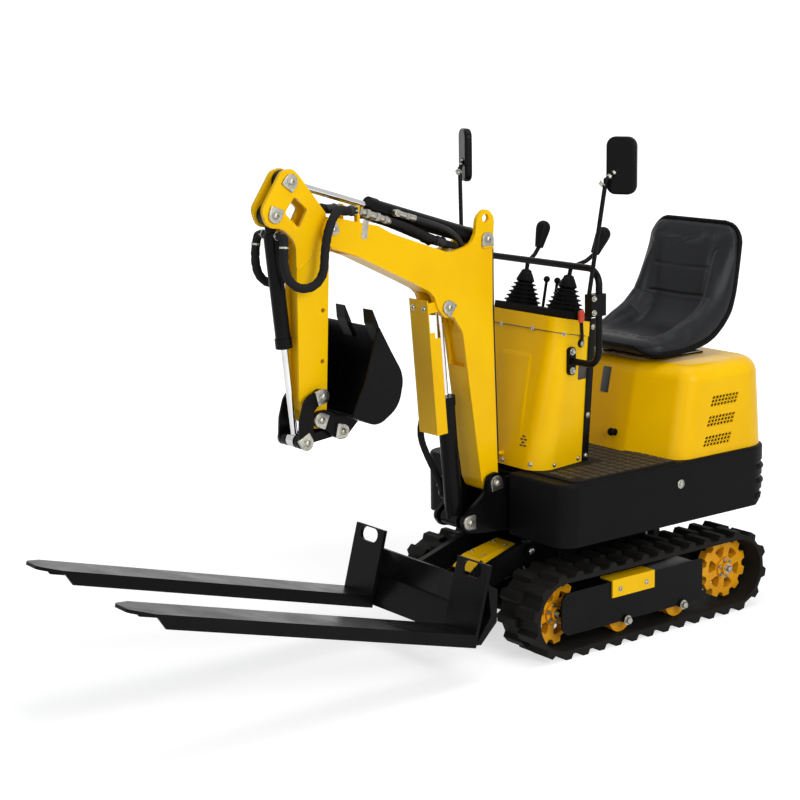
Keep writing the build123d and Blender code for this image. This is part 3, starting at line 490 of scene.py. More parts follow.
def rectangle(half_x: float, half_y: float, radius: float, steps: int) -> Array:
    """Outline of a rectangle about the origin.

    Args:
        half_x: Half of its size along the first axis.
        half_y: Half of its size along the second axis.
        radius: Radius of its corners.
        steps: Points on each corner's arc.

    Returns:
        The outline as (points, 2).
    """
    return rounded([(-half_x, -half_y, radius), (half_x, -half_y, radius), (half_x, half_y, radius),
                    (-half_x, half_y, radius)], steps)


def place_at(spot: Array, normal: Array, turn_to: Array | None = None) -> Array:
    """Place whose Z axis is a normal and whose X axis leans to a direction.

    Args:
        spot: Origin of the place.
        normal: Direction of its Z axis.
        turn_to: Direction that its X axis leans to.

    Returns:
        The 4 by 4 place.
    """
    z = np.asarray(normal, float) / np.linalg.norm(normal)
    lean = np.asarray(turn_to, float) if turn_to is not None else (AHEAD if abs(z[0]) < 0.9 else LEFT)
    x = lean - z * (lean @ z)
    x /= np.linalg.norm(x)
    made = np.eye(4)
    made[:3, 0], made[:3, 1], made[:3, 2], made[:3, 3] = x, np.cross(z, x), z, spot
    return made


def outward(spots: list[Point] | tuple[Point, ...] | Array) -> Array:
    """Places at some points whose Z axes face the machine's left, as (count, 4, 4)."""
    return np.array([place_at(np.array(spot), LEFT) for spot in spots])


def hex_bolt(across: float = 13.0) -> Surface:
    """Hexagon head on a washer, for the across-flats size of the head."""
    washer = revolved([(across * 0.85, 0), (across * 0.85, across * 0.13), (across * 0.5, across * 0.16)])
    head = plate(rounded(hexagon(across), 3), across * 0.62, across * 0.07)
    return Surface.joined([washer, head.placed(place_at(np.array([0, 0, across * 0.12]), UP))])


def button_bolt(radius: float = 8.0) -> Surface:
    """Domed head with a socket in its crown, for the radius of the head."""
    dome = [(1.25, 0), (1.25, 0.2), (1.0, 0.22), (0.97, 0.42), (0.82, 0.66), (0.58, 0.78), (0.46, 0.8),
            (0.4, 0.72), (0.36, 0.36)]
    return revolved([(r * radius, h * radius) for r, h in dome])


@dataclass
class Machine:
    """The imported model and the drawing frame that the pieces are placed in.

    Attributes:
        origin_x: Drawing X of the row frame's zero.
        count: Pieces added so far.
        trees: Search tree of each CAD node that a line was sent to.
    """

    frame: dict
    origin_x: float = 0.0
    count: int = 0
    trees: dict[str, BVHTree] = field(default_factory=dict)

    def __post_init__(self) -> None:
        """Take the drawing's zero from the slew axis."""
        slew = next(j for j in self.frame["joints"] if j["name"] == "slew")
        self.origin_x = SLEW_X - slew["pos_m"][0] / MM

    def row(self, points: Array) -> Array:
        """Drawing points in the row frame, in metres."""
        return (np.asarray(points, float) - np.array([self.origin_x, 0, 0])) * MM

    def drawn(self, points: Array) -> Array:
        """Points of the row frame, given in metres, in the drawing frame."""
        return np.asarray(points, float) / MM + np.array([self.origin_x, 0, 0])

    def box(self, node: str) -> tuple[Array, Array]:
        """Lowest and highest corner of a CAD node in the drawing frame."""
        low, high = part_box(node)
        return self.drawn(low), self.drawn(high)

    def seat_on(self, node: str, start: Point, direction: Point) -> tuple[Array, Array]:
        """Where a line from a point first meets a CAD node.

        Args:
            node: Name of the node.
            start: Point that the line starts at.
            direction: Direction of the line.

        Returns:
            The point on the node and the outward normal there.
        """
        if node not in self.trees:
            mesh = self.frame["nodes"][node].data
            spots = np.empty(len(mesh.vertices) * 3, np.float32)
            mesh.vertices.foreach_get("co", spots)
            mesh.calc_loop_triangles()
            corners = np.empty(len(mesh.loop_triangles) * 3, np.int32)
            mesh.loop_triangles.foreach_get("vertices", corners)
            self.trees[node] = BVHTree.FromPolygons(spots.reshape(-1, 3).tolist(),
                                                    corners.reshape(-1, 3).tolist())
        way = Vector(direction).normalized()
        spot, normal, _, _ = self.trees[node].ray_cast(Vector(self.row(start)), way)
        if spot is None:
            raise ValueError(f"nothing of {node} lies on the line from {start} along {direction}")
        facing = np.array(normal) * (-1.0 if normal.dot(way) > 0 else 1.0)
        return self.drawn(spot), facing

    def places_on(self, node: str, starts: list[Point] | tuple[Point, ...], direction: Point,
                  turn_to: Array | None = None, lift: float = 0.0) -> Array:
        """Places on a CAD node, each where a line from one of several points meets it.

        Args:
            node: Name of the node.
            starts: Points that the lines start at.
            direction: Direction of the lines.
            turn_to: Direction that the places' X axes lean to.
            lift: Height of the places over the node.

        Returns:
            The places as (count, 4, 4).
        """
        found = [self.seat_on(node, start, direction) for start in starts]
        return np.array([place_at(spot + normal * lift, normal, turn_to) for spot, normal in found])

    def add(self, name: str, shape: Surface, finish: Finish, body: Body | None,
            smooth: float = 38.0) -> bpy.types.Object:
        """Make one piece from a surface and let it ride on a body.

        Args:
            name: Plain name of the piece.
            shape: Its surface in the drawing frame.
            finish: Its finish.
            body: Body that it rides on, or None where the piece is not attached here.
            smooth: Edges sharper than this many degrees stay crisp.

        Returns:
            The object.
        """
        mesh = bpy.data.meshes.new(name)
        flat = [t.ravel() for t in shape.tables]
        totals = np.concatenate([np.full(len(t), t.shape[1]) for t in shape.tables])
        mesh.vertices.add(len(shape.points))
        mesh.vertices.foreach_set("co", self.row(shape.points).astype(np.float32).ravel())
        mesh.loops.add(int(totals.sum()))
        mesh.loops.foreach_set("vertex_index", np.concatenate(flat).astype(np.int32))
        mesh.polygons.add(len(totals))
        starts = np.concatenate([[0], np.cumsum(totals)[:-1]])
        mesh.polygons.foreach_set("loop_start", starts.astype(np.int32))
        mesh.update(calc_edges=True)
        mesh.validate()
        mesh.polygons.foreach_set("use_smooth", np.ones(len(mesh.polygons), bool))
        mesh.set_sharp_from_angle(angle=math.radians(smooth))
        mesh.materials.append(finish.material())
        made = bpy.data.objects.new(name, mesh)
        bpy.context.scene.collection.objects.link(made)
        if body is not None:
            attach(made, body.value)
        self.count += 1
        LOG.info("%s: %d corners, %s", name, len(shape.points), finish.name)
        return made

    def dress(self, finish: Finish, *nodes: str) -> None:
        """Give a finish to CAD nodes, whose shapes stay as they are."""
        for node in nodes:
            data = self.frame["nodes"][node].data
            data.materials.clear()
            data.materials.append(finish.material())
            LOG.info("%s: %s", node, finish.name)


@dataclass
class Studio:
    """Camera, floor, backdrop and soft light.

    Attributes:
        azimuth: Turn of the view about the upright axis, in degrees.
        pitch: Downward tilt of the view.
        roll: Roll of the camera.
        focal_px: Focal length in pixels of the square image.
        eye: Place of the camera in the drawing frame.
        floor_half: Half of the floor's width.
        bend_at: Distance behind the machine where the floor starts to curve up.
        rise: Radius of that curve.
        near_glow: Distances in metres between which the floor's glow grows to full.
        lamps: Name, place in metres, side in metres and power of each soft box.
        aim: Point that the soft boxes face.
    """

    azimuth: float = 142.877
    pitch: float = 11.290
    roll: float = -0.969
    focal_px: float = 1868.7
    eye: Point = (4206.9, 4565.5, 1990.2)
    floor_half: float = 16000.0
    bend_at: float = 7000.0
    rise: float = 9000.0
    near_glow: tuple[float, float] = (1.3, 3.0)
    lamps: tuple[tuple[str, Point, float, float], ...] = (
        ("key", (0.3, 5.8, 3.2), 3.2, 222.0), ("front_fill", (5.0, 2.4, 2.4), 3.0, 46.0),
        ("top", (-0.6, 0.6, 6.0), 4.0, 120.0))
    aim: Point = (0.0, 0.0, 0.7)

    def build(self, machine: Machine) -> None:
        """Put the camera, the lamps, the world and the curved floor in the scene."""
        self.camera(machine)
        self.floor(machine)
        self.light()
        self.world()
        bpy.context.scene.view_settings.view_transform = "Standard"

    def camera(self, machine: Machine) -> None:
        """Camera whose axes come from the view's three angles."""
        a, e, r = (math.radians(v) for v in (self.azimuth, self.pitch, self.roll))
        back = np.array([math.sin(a) * math.cos(e), -math.cos(a) * math.cos(e), math.sin(e)])
        right = np.cross(-back, UP)
        right /= np.linalg.norm(right)
        top = np.cross(right, -back)
        across = math.cos(r) * right + math.sin(r) * top
        over = math.cos(r) * top - math.sin(r) * right
        data = bpy.data.cameras.new("camera")
        data.sensor_width, data.lens = 36.0, 36.0 * self.focal_px / IMAGE_SIDE
        data.clip_end = 100.0
        made = bpy.data.objects.new("camera", data)
        place = Matrix(np.column_stack([across, over, back]).tolist()).to_4x4()
        place.translation = Vector(machine.row(self.eye))
        made.matrix_world = place
        bpy.context.scene.collection.objects.link(made)
        bpy.context.scene.camera = made

    def floor(self, machine: Machine) -> None:
        """Pale sheet that curves up far behind the machine, as a function of across and along."""
        across = np.linspace(-self.floor_half, self.floor_half, 33)
        along = np.linspace(-self.floor_half, self.floor_half, 65)
        away = np.clip((-along - self.bend_at) / self.rise, 0.0, 1.0)
        y, w = np.meshgrid(across, np.arange(len(along)), indexing="ij")
        lift = (1 - np.cos(away * np.pi / 2)) * self.rise
        lattice = np.stack([y, along[w], lift[w]], -1)
        a = math.radians(self.azimuth)
        ahead = np.array([math.sin(a), -math.cos(a), 0])
        beside = np.array([math.cos(a), math.sin(a), 0])
        points = lattice[..., :1] * beside + lattice[..., 1:2] * ahead + lattice[..., 2:] * UP
        mesh = bpy.data.meshes.new("studio_floor")
        grid = Surface.grid(points + np.array([machine.origin_x, 0, 0]))
        mesh.from_pydata(machine.row(grid.points).tolist(), [], grid.tables[0].tolist())
        mesh.polygons.foreach_set("use_smooth", np.ones(len(mesh.polygons), bool))
        mesh.materials.append(self.floor_material())
        made = bpy.data.objects.new("studio_floor", mesh)
        bpy.context.scene.collection.objects.link(made)

    @staticmethod
    def seen(tree: bpy.types.NodeTree) -> bpy.types.NodeSocket:
        """One for rays that the eye, a gloss or a glass sees, nought for rays that carry light."""
        path = add_node(tree, "ShaderNodeLightPath", {})
        gloss = add_node(tree, "ShaderNodeMath", {
            0: path.outputs["Is Camera Ray"], 1: path.outputs["Is Glossy Ray"]}, operation="MAXIMUM")
        glass = add_node(tree, "ShaderNodeMath", {
            0: gloss.outputs[0], 1: path.outputs["Is Transmission Ray"]}, operation="MAXIMUM")
        return glass.outputs[0]

    def floor_material(self) -> bpy.types.Material:
        """Matt white paper that glows where it is seen, most away from the machine, and keeps the shadow."""
        made = bpy.data.materials.new("matt white studio paper")
        made.use_nodes = True
        tree = made.node_tree
        tree.nodes.clear()
        place = add_node(tree, "ShaderNodeTexCoord", {}).outputs["Object"]
        reach = add_node(tree, "ShaderNodeVectorMath", {0: place}, operation="LENGTH")
        away = add_node(tree, "ShaderNodeMapRange", {
            "Value": reach.outputs["Value"], "From Min": self.near_glow[0], "From Max": self.near_glow[1],
            "To Min": 0.62, "To Max": 1.0})
        paper = add_node(tree, "ShaderNodeBsdfDiffuse", {"Color": linear("#C9C9C9")})
        glow = add_node(tree, "ShaderNodeEmission", {
            "Color": (1, 1, 1, 1), "Strength": away.outputs["Result"]})
        both = add_node(tree, "ShaderNodeAddShader", {0: paper.outputs[0], 1: glow.outputs[0]})
        plain = add_node(tree, "ShaderNodeBsdfDiffuse", {"Color": linear("#E2E2E2")})
        mixed = add_node(tree, "ShaderNodeMixShader", {
            0: self.seen(tree), 1: plain.outputs[0], 2: both.outputs[0]})
        add_node(tree, "ShaderNodeOutputMaterial", {"Surface": mixed.outputs[0]})
        return made

    def light(self) -> None:
        """Large soft boxes: the key from the machine's left, a weak one from ahead and one from above."""
        for name, spot, side, power in self.lamps:
            data = bpy.data.lights.new(name, "AREA")
            data.shape, data.size, data.energy = "SQUARE", side, power
            made = bpy.data.objects.new(name, data)
            made.location = spot
            made.rotation_euler = (Vector(self.aim) - Vector(spot)).to_track_quat("-Z", "Y").to_euler()
            bpy.context.scene.collection.objects.link(made)

    def world(self) -> None:
        """Even pale surround, white where it is seen and soft where it gives light."""
        made = bpy.data.worlds.new("studio_surround")
        made.use_nodes = True
        tree = made.node_tree
        tree.nodes.clear()
        light = add_node(tree, "ShaderNodeBackground", {"Color": linear("#F4F6F8"), "Strength": 0.34})
        white = add_node(tree, "ShaderNodeBackground", {"Color": (1, 1, 1, 1), "Strength": 1.0})
        mixed = add_node(tree, "ShaderNodeMixShader", {
            0: self.seen(tree), 1: light.outputs[0], 2: white.outputs[0]})
        add_node(tree, "ShaderNodeOutputWorld", {"Surface": mixed.outputs[0]})
        bpy.context.scene.world = made


@dataclass(frozen=True)
class Hose:
    """One hose.

    Attributes:
        name: Plain name of the piece.
        route: Control points of its line.
        radius: Radius of the hose with its sleeve.
        length: Real length; not used.
        body: Body that carries its start.
        finish: Its finish.
        wrinkle: How far its sleeve swells and shrinks, as a share of the radius.
    """

    name: str
    route: tuple[Point, ...]
    radius: float
    length: float
    body: Body
    finish: Finish
    wrinkle: float = 0.0


@dataclass
class Hydraulics:
    """Hoses of the boom, arm and bucket cylinders with their couplings.

    Attributes:
        loop: Hose from the boom's nose over the arm to the bucket cylinder, one on each side.
        feed: Hose along the boom's top to the loop's coupling, one on each side.
        arm_line: Hose of the arm cylinder.
        lift_line: Hose of the boom cylinder.
        rear_line: Hose down the boom's rear, one on each side.
        port: Port on the bucket cylinder's barrel.
        swing: Points between which the loop goes over from the boom to the arm; not used.
    """

    loop: Hose = Hose("bucket_hose_sleeve", (
        (938, 44, 1456), (973, 44, 1456), (1008, 57, 1464), (1042, 74, 1446), (1066, 82, 1409),
        (1079, 85, 1367), (1085, 86, 1326), (1088, 86, 1289), (1108, 85, 1258), (1142, 83, 1243),
        (1181, 81, 1249), (1210, 79, 1275), (1221, 77, 1311), (1221, 76, 1348), (1217, 74, 1378),
        (1213.79, 66, 1400.32), (1213.79, 40.3, 1400.32)),
        13.2, 579.0, Body.BOOM, HOSE_SLEEVE, 0.06)
    feed: Hose = Hose("boom_top_hose", (
        (818, 44, 1416), (784, 44, 1407), (729, 42, 1386), (670, 38, 1360), (622, 34, 1340), (585, 29, 1327),
        (552, 25, 1318), (530, 24, 1302), (522, 24, 1282)), 10.5, 335.0, Body.BOOM, HOSE_SLEEVE, 0.03)
    arm_line: Hose = Hose("arm_cylinder_hose", (
        (714, 40, 1415), (660, 40, 1398), (600, 39, 1378), (552, 35, 1352), (520, 28, 1322), (508, 26, 1284)),
        8.5, 256.0, Body.ARM_BARREL, HOSE_RUBBER)
    lift_line: Hose = Hose("boom_cylinder_hose", (
        (570, -28, 818), (573, -50, 826), (588, -66, 812), (602, -71, 776), (616, -73, 730), (614, -73, 690),
        (598, -72, 648), (573, -67, 592), (553, -59, 550), (547, -50, 512)),
        11.0, 362.0, Body.BOOM_BARREL, HOSE_SLEEVE, 0.03)
    rear_line: Hose = Hose("boom_rear_hose", (
        (417, 34, 1352), (404, 34, 1350), (403, 34, 1325), (403, 34, 1100), (396, 34, 900), (389, 34, 700),
        (386, 34, 625), (390, 34, 592), (404, 34, 580)), 7.0, 790.0, Body.BOOM, HOSE_RUBBER)
    port: Point = (1213.79, 40.0, 1400.32)
    swing: tuple[Point, Point] = ((965, 0, 1430), (1205, 0, 1430))

    def build(self, machine: Machine) -> None:
        """Make the hoses, then the couplings at their ends."""
        for side, word in ((1.0, "left"), (-1.0, "right")):
            made, line = self.hose(machine, self.loop, f"{word}_", side, False)
            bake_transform(made)
            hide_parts(f"{word}_bucket_hose")
            self.declare(made, self.loop, line)
            for hose in (self.feed, self.rear_line):
                self.declare(*self.placed(machine, hose, f"{word}_", side))
        for hose in (self.arm_line, self.lift_line):
            self.declare(*self.placed(machine, hose, "", 1.0))
        self.couplings(machine)

    def placed(self, machine: Machine, hose: Hose, word: str,
               side: float) -> tuple[bpy.types.Object, Hose, Array]:
        """Hose that rides on its body, with the hose and its line."""
        made, line = self.hose(machine, hose, word, side, True)
        return made, hose, line

    @staticmethod
    def declare(made: bpy.types.Object, hose: Hose, line: Array) -> None:
        """Takes a hose piece, the hose and its line, and does nothing with them."""

    @staticmethod
    def line(machine: Machine, route: Array) -> Array:
        """Points in metres of the smooth spline that has the route as its control points."""
        data = bpy.data.curves.new("hose_route", "CURVE")
        data.dimensions, data.resolution_u = "3D", 8
        spline = data.splines.new("NURBS")
        spline.points.add(len(route) - 1)
        weights = np.ones((len(route), 1))
        spline.points.foreach_set("co", np.hstack([machine.row(route), weights]).astype(np.float32).ravel())
        spline.order_u = 3
        spline.use_endpoint_u = True
        holder = bpy.data.objects.new("hose_route", data)
        mesh = bpy.data.meshes.new_from_object(holder)
        points = np.empty(len(mesh.vertices) * 3, np.float32)
        mesh.vertices.foreach_get("co", points)
        bpy.data.objects.remove(holder)
        bpy.data.meshes.remove(mesh)
        bpy.data.curves.remove(data)
        return points.reshape(-1, 3).astype(float)

    def hose(self, machine: Machine, hose: Hose, word: str, side: float,
             riding: bool) -> tuple[bpy.types.Object, Array]:
        """Tube round the hose's spline, whose sleeve swells and shrinks by two waves of its length.

        Args:
            machine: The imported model.
            hose: The hose.
            word: Start of the piece's name.
            side: One for the left side and minus one for the right.
            riding: True where it rides on its body alone.

        Returns:
            The piece and its line in metres.
        """
        line = self.line(machine, np.array(hose.route, float) * np.array([1.0, side, 1.0]))
        run = way_along(line) / MM
        size = 1 + hose.wrinkle * (0.6 * np.sin(run / 4.1) + 0.4 * np.sin(run / 2.3 + 1.0))
        lean = np.array([-0.35, 0.87 * side, 0.35])
        tube = swept(circle(hose.radius, 16), machine.drawn(line), lean, size)
        made = machine.add(f"{word}{hose.name}", tube, hose.finish, hose.body if riding else None, 60.0)
        LOG.info("%s%s: %.0f mm long", word, hose.name, run[-1])
        return made, line

    @staticmethod
    def spindle(start: Point, end: Point, pieces: tuple[tuple[float, float, int], ...]) -> Surface:
        """Row of turned pieces along an axis.

        Args:
            start: Start of the axis.
            end: End of the axis.
            pieces: Share of the length, radius and count of corners of each piece.

        Returns:
            The pieces as one surface.
        """
        foot, axis = np.array(start, float), np.array(end, float) - np.array(start, float)
        shares = np.cumsum([0.0] + [p[0] for p in pieces])
        length = float(np.linalg.norm(axis)) / shares[-1]
        made = []
        for at, (share, radius, corners) in zip(shares, pieces):
            piece = plate(circle(radius, corners), share * length, min(1.4, radius * 0.12))
            made.append(piece.placed(place_at(foot + axis * at / shares[-1], axis)))
        return Surface.joined(made)

    def couplings(self, machine: Machine) -> None:
        """Zinc couplings, black cuffs and port elbows at the ends of the hoses."""
        row = self.spindle((928, 44, 1455), (812, 44, 1414),
                           ((10, 13, 6), (18, 9.5, 20), (12, 14, 6), (26, 11, 20), (14, 13.5, 6),
                            (20, 10, 20), (10, 12.5, 6), (14, 10.5, 20)))
        nut = self.spindle((937.8, 44, 1456), (952, 44, 1456), ((6, 14.5, 6), (3, 11.5, 20)))
        zinc = Surface.joined([row, nut])
        machine.add("boom_hose_couplings", zinc.paired(), ZINC_PLATE, Body.BOOM)
        cuff = revolved([(12.4, 0), (16.5, 1), (17, 6), (14.2, 12), (13.6, 30), (12.2, 34)])
        front = cuff.placed(place_at(np.array([951.0, 44.0, 1456.0]), AHEAD))
        rear = cuff.placed(place_at(np.array([598.0, 31.0, 1331.5]), np.array([0.93, 0.13, 0.34])))
        black = Surface.joined([front, rear])
        machine.add("boom_hose_cuffs", black.paired(), HOSE_RUBBER, Body.BOOM)
        x, y, z = self.port
        elbow = self.spindle((x, y - 6, z), (x, y + 22, z), ((12, 14, 6), (16, 10.5, 20)))
        band = self.spindle((1218.2, 74.6, 1372), (1219.0, 75.0, 1366), ((1, 14.4, 24),))
        ports = Surface.joined([elbow, band])
        machine.add("bucket_port_fittings", ports.paired(), ZINC_PLATE, Body.BUCKET_BARREL)
        block = self.spindle((781, 22, 1436), (781, 47, 1436), ((1, 11, 20),))
        union = self.spindle((786, 40, 1437.5), (712, 40, 1414.5),
                             ((14, 11.5, 6), (24, 9, 20), (12, 10.5, 6), (24, 9.6, 20)))
        machine.add("arm_cylinder_union", Surface.joined([block, union]), ZINC_PLATE, Body.ARM_BARREL)
        lower = self.spindle((553, -60.5, 556), (546, -52, 500),
                             ((16, 11, 20), (8, 12.5, 6), (14, 9, 20), (10, 12, 6)))
        elbow = self.spindle((545, -54, 497), (543, -26, 492), ((1, 10, 20),))
        upper = self.spindle((570, -24, 818), (571, -40, 822), ((1, 12, 6),))
        machine.add("boom_cylinder_fittings", Surface.joined([lower, elbow, upper]), BLACK_ENAMEL,
                    Body.BOOM_BARREL)


@dataclass
class RunningGear:
    """Tracks, wheels, rollers and side beams of both sides.

    Attributes:
        cover_face: Y of the outer face of the cover plates.
        hub_face: Y of the outer face of the wheel hubs.
        disc_face: Y of the wheels' bolted discs.
        skid_face: Y of the step plates' outer face.
        wheel_x: X of the sprocket's and the idler's axle.
        axle_z: Height of both axles.
        roller_x: X of the rollers' axles.
        roller_z: Height of the rollers' axles.
        hub_ring: Radius of the ring of small bolts round an axle.
        step_bolts: X of the step plate's two bolts.
        step_z: Height of those bolts.
    """

    cover_face: float = 340.0
    hub_face: float = 300.0
    disc_face: float = 289.0
    skid_face: float = 345.3
    wheel_x: tuple[float, float] = (-425.0, 362.0)
    axle_z: float = 142.0
    roller_x: tuple[float, float] = (96.0, -162.0)
    roller_z: float = 77.3
    hub_ring: float = 29.0
    step_bolts: tuple[float, float] = (10.0, 128.0)
    step_z: float = 190.0

    def build(self, machine: Machine) -> None:
        """Dress the running gear and add its bolts."""
        sides = ("left", "right")
        machine.dress(TRACK_RUBBER, *[f"{s}_track" for s in sides])
        machine.dress(ORANGE_ENAMEL, *[f"{s}_{n}" for s in sides
                                       for n in ("sprocket", "idler", "front_roller", "rear_roller")])
        machine.dress(BLACK_ENAMEL, "undercarriage_frame", *[f"{s}_side_beam" for s in sides])
        machine.dress(YELLOW_ENAMEL, *[f"{s}_skid" for s in sides])
        self.bolts(machine)

    def bolts(self, machine: Machine) -> None:
        """Hub, roller, cover and step bolts of both sides as one piece."""
        turn = np.arange(6) * np.pi / 3 + 0.3
        rings = [[(x + self.hub_ring * math.cos(t), self.disc_face, self.axle_z + self.hub_ring * math.sin(t))
                  for t in turn] for x in self.wheel_x]
        small = outward([p for ring in rings for p in ring])
        hubs = outward([(x, self.hub_face, self.axle_z) for x in self.wheel_x])
        axles = outward([(x, self.cover_face + 6, self.roller_z) for x in self.roller_x])
        steps = outward([(x, self.skid_face, self.step_z) for x in self.step_bolts])
        shape = Surface.joined([hex_bolt(9).copies(small), hex_bolt(19).copies(hubs),
                                hex_bolt(19).copies(axles), button_bolt(7).copies(steps)])
        machine.add("running_gear_bolts", shape.paired(), ZINC_PLATE, Body.UNDERCARRIAGE)


@dataclass
class BladeAndForks:
    """Dozer blade, pallet forks and the folded guard.

    Attributes:
        guard_bolts: Points above the bolts of the guard.
        pivot: Outer end of the blade's left pivot.
    """

    guard_bolts: tuple[Point, ...] = ((442, 30, 400), (442, -30, 400), (350, 30, 400), (350, -30, 400))
    pivot: Point = (337.0, 136.0, 312.0)

    def build(self, machine: Machine) -> None:
        """Dress the blade and its forks and add the bolts of its guard and pivot."""
        machine.dress(BLACK_ENAMEL, "blade", "left_fork", "right_fork", "blade_cylinder_barrel")
        machine.dress(YELLOW_ENAMEL, "blade_cylinder_guard")
        machine.dress(HARD_CHROME, "blade_cylinder_rod")
        places = machine.places_on("blade_cylinder_guard", self.guard_bolts, FROM_ABOVE)
        machine.add("blade_guard_bolts", button_bolt(5).copies(places), ZINC_PLATE, Body.BLADE)
        boss = hex_bolt(20).placed(place_at(np.array(self.pivot), LEFT))
        machine.add("blade_pivot_bolts", boss.paired(), ZINC_PLATE, Body.BLADE)


@dataclass
class UpperStructure:
    """Skirt, hood with its vents, engine and the floor mat.

    Attributes:
        deck_z: Height of the hood's foot.
        hood_z: Height of the hood's top.
        hood_y: Half width of the hood at its foot.
        hood_lean: How far its side leans in up to the top.
        rear_x: X of the hood's rear.
        vent_at: Place of the first vent, ahead of the rear and below the top.
        vent_size: Length and height of a vent.
        vent_step: Step from each vent to the next one below, ahead and down.
        vent_lean: How far a vent's upper edge lies behind its lower edge.
        vent_holes: Holes along and up a vent.
        hole_share: Hole radius as a share of the spacing.
        grooves: Height of each groove of the skirt and the angle in degrees where its lip ends.
        lip_middle: Point inside the skirt's rear corner that the lips turn about.
        lip_start: Angle in degrees where each lip starts.
        lip_drop: Depth of a lip below its groove.
        tile: Pitch of the mat's pads.
        tile_gap: Gap between two pads.
        tile_rise: Height of a pad.
        foot_half: Half width of the console's foot.
        boom_notch: X where the mat's notch for the boom starts, and its half width.
        cut_corner: X and Y beyond which the mat's front corners are cut.
        bare_strip: X up to which the mat is bare by the hood, and half width of that strip.
        lock: Point to the left of the skirt's lock.
        knob: Point ahead of the hood's release knob.
        blank: Point ahead of the hood's blank plate.
    """

    deck_z: float = 572.0
    hood_z: float = 874.0
    hood_y: float = 344.0
    hood_lean: float = 8.0
    rear_x: float = -595.0
    vent_at: tuple[float, float] = (170.0, 140.0)
    vent_size: tuple[float, float] = (126.0, 36.0)
    vent_step: tuple[float, float] = (18.0, 66.0)
    vent_lean: float = 15.0
    vent_holes: tuple[int, int] = (8, 3)
    hole_share: float = 0.4
    grooves: tuple[tuple[float, float], ...] = ((502.0, 172.0), (452.0, 172.0), (402.0, 106.0))
    lip_middle: tuple[float, float] = (-500.0, 265.0)
    lip_start: float = 84.0
    lip_drop: float = 8.0
    tile: float = 36.0
    tile_gap: float = 6.0
    tile_rise: float = 2.2
    foot_half: float = 184.0
    boom_notch: tuple[float, float] = (75.0, 96.0)
    cut_corner: tuple[float, float] = (290.0, 318.0)
    bare_strip: tuple[float, float] = (-89.0, 130.0)
    lock: Point = (-128.0, FAR_LEFT, 501.0)
    knob: Point = (200.0, 71.0, 632.0)
    blank: Point = (200.0, -10.0, 799.0)

    def build(self, machine: Machine) -> None:
        """Dress the upper structure and add vents, tiles, lips, lock, knob and plate."""
        machine.dress(BLACK_ENAMEL, "upper_frame")
        machine.dress(MOULDED_PLASTIC, "skirt")
        machine.dress(YELLOW_ENAMEL, "hood")
        machine.dress(ENGINE_IRON, "engine")
        machine.dress(TRACK_RUBBER, "floor_mat")
        self.vents(machine)
        self.tiles(machine)
        self.lips(machine)
        self.fittings(machine)

    def vents(self, machine: Machine) -> None:
        """Perforated sheets in the hood's slanted windows.

        Each cell of a sheet runs from its square rim to a circle and back through the sheet's thickness.
        """
        along, up = self.vent_holes
        turn = np.linspace(0, 2 * np.pi, 16, endpoint=False) + np.pi / 16
        ray = np.stack([np.cos(turn), np.sin(turn)], -1)
        square = 0.5 * ray / np.abs(ray).max(1)[:, None]
        ring = np.stack([square, self.hole_share * ray, self.hole_share * ray])
        depth = np.array([0.0, 0.0, -2.5])
        i, j = np.meshgrid(np.arange(along), np.arange(up), indexing="ij")
        parts = []
        for k in range(3):
            low = self.hood_z - self.vent_at[1] - self.vent_step[1] * k
            x0 = self.rear_x + self.vent_at[0] + self.vent_step[0] * k
            s = (i[..., None, None] + 0.5 + ring[..., 0]) / along
            t = (j[..., None, None] + 0.5 + ring[..., 1]) / up
            z = low + self.vent_size[1] * t
            x = x0 + self.vent_lean * (1 - t) + self.vent_size[0] * s
            y = self.hood_y - self.hood_lean * (z - self.deck_z) / (self.hood_z - self.deck_z) - 1.5
            y = y + depth[None, None, :, None]
            cells = np.stack([x, y, z], -1).reshape(-1, 3, len(turn), 3)
            parts += [Surface.grid(c, wrap_columns=True) for c in cells]
        left = Surface.joined(parts)
        left.tables = [t[:, ::-1] for t in left.tables]
        machine.add("hood_vent_sheets", left.paired(), YELLOW_ENAMEL, Body.HOUSE)

    def lips(self, machine: Machine) -> None:
        """Rolled lips under the three grooves at each rear corner of the skirt.

        Each follows the skirt where level lines towards one point inside the corner meet it.
        """
        half = rounded([(-7, -3, 1), (7, -3, 1), (4, 5, 4), (-4, 5, 4)], 4)
        fade = np.clip(np.minimum(np.arange(19), np.arange(19)[::-1]) / 3.0, 0.25, 1.0)
        parts = []
        for low, last in self.grooves:
            turn = np.radians(np.linspace(self.lip_start, last, 19))
            rays = np.stack([np.cos(turn), np.sin(turn), 0 * turn], -1)
            middle = np.array([*self.lip_middle, low - self.lip_drop])
            spots = np.array([machine.seat_on("skirt", tuple(middle + 400 * r), tuple(-r))[0] for r in rays])
            parts.append(swept(half, spots, UP, fade))
        left = Surface.joined(parts)
        machine.add("skirt_vent_lips", left.paired(), MOULDED_PLASTIC, Body.HOUSE)

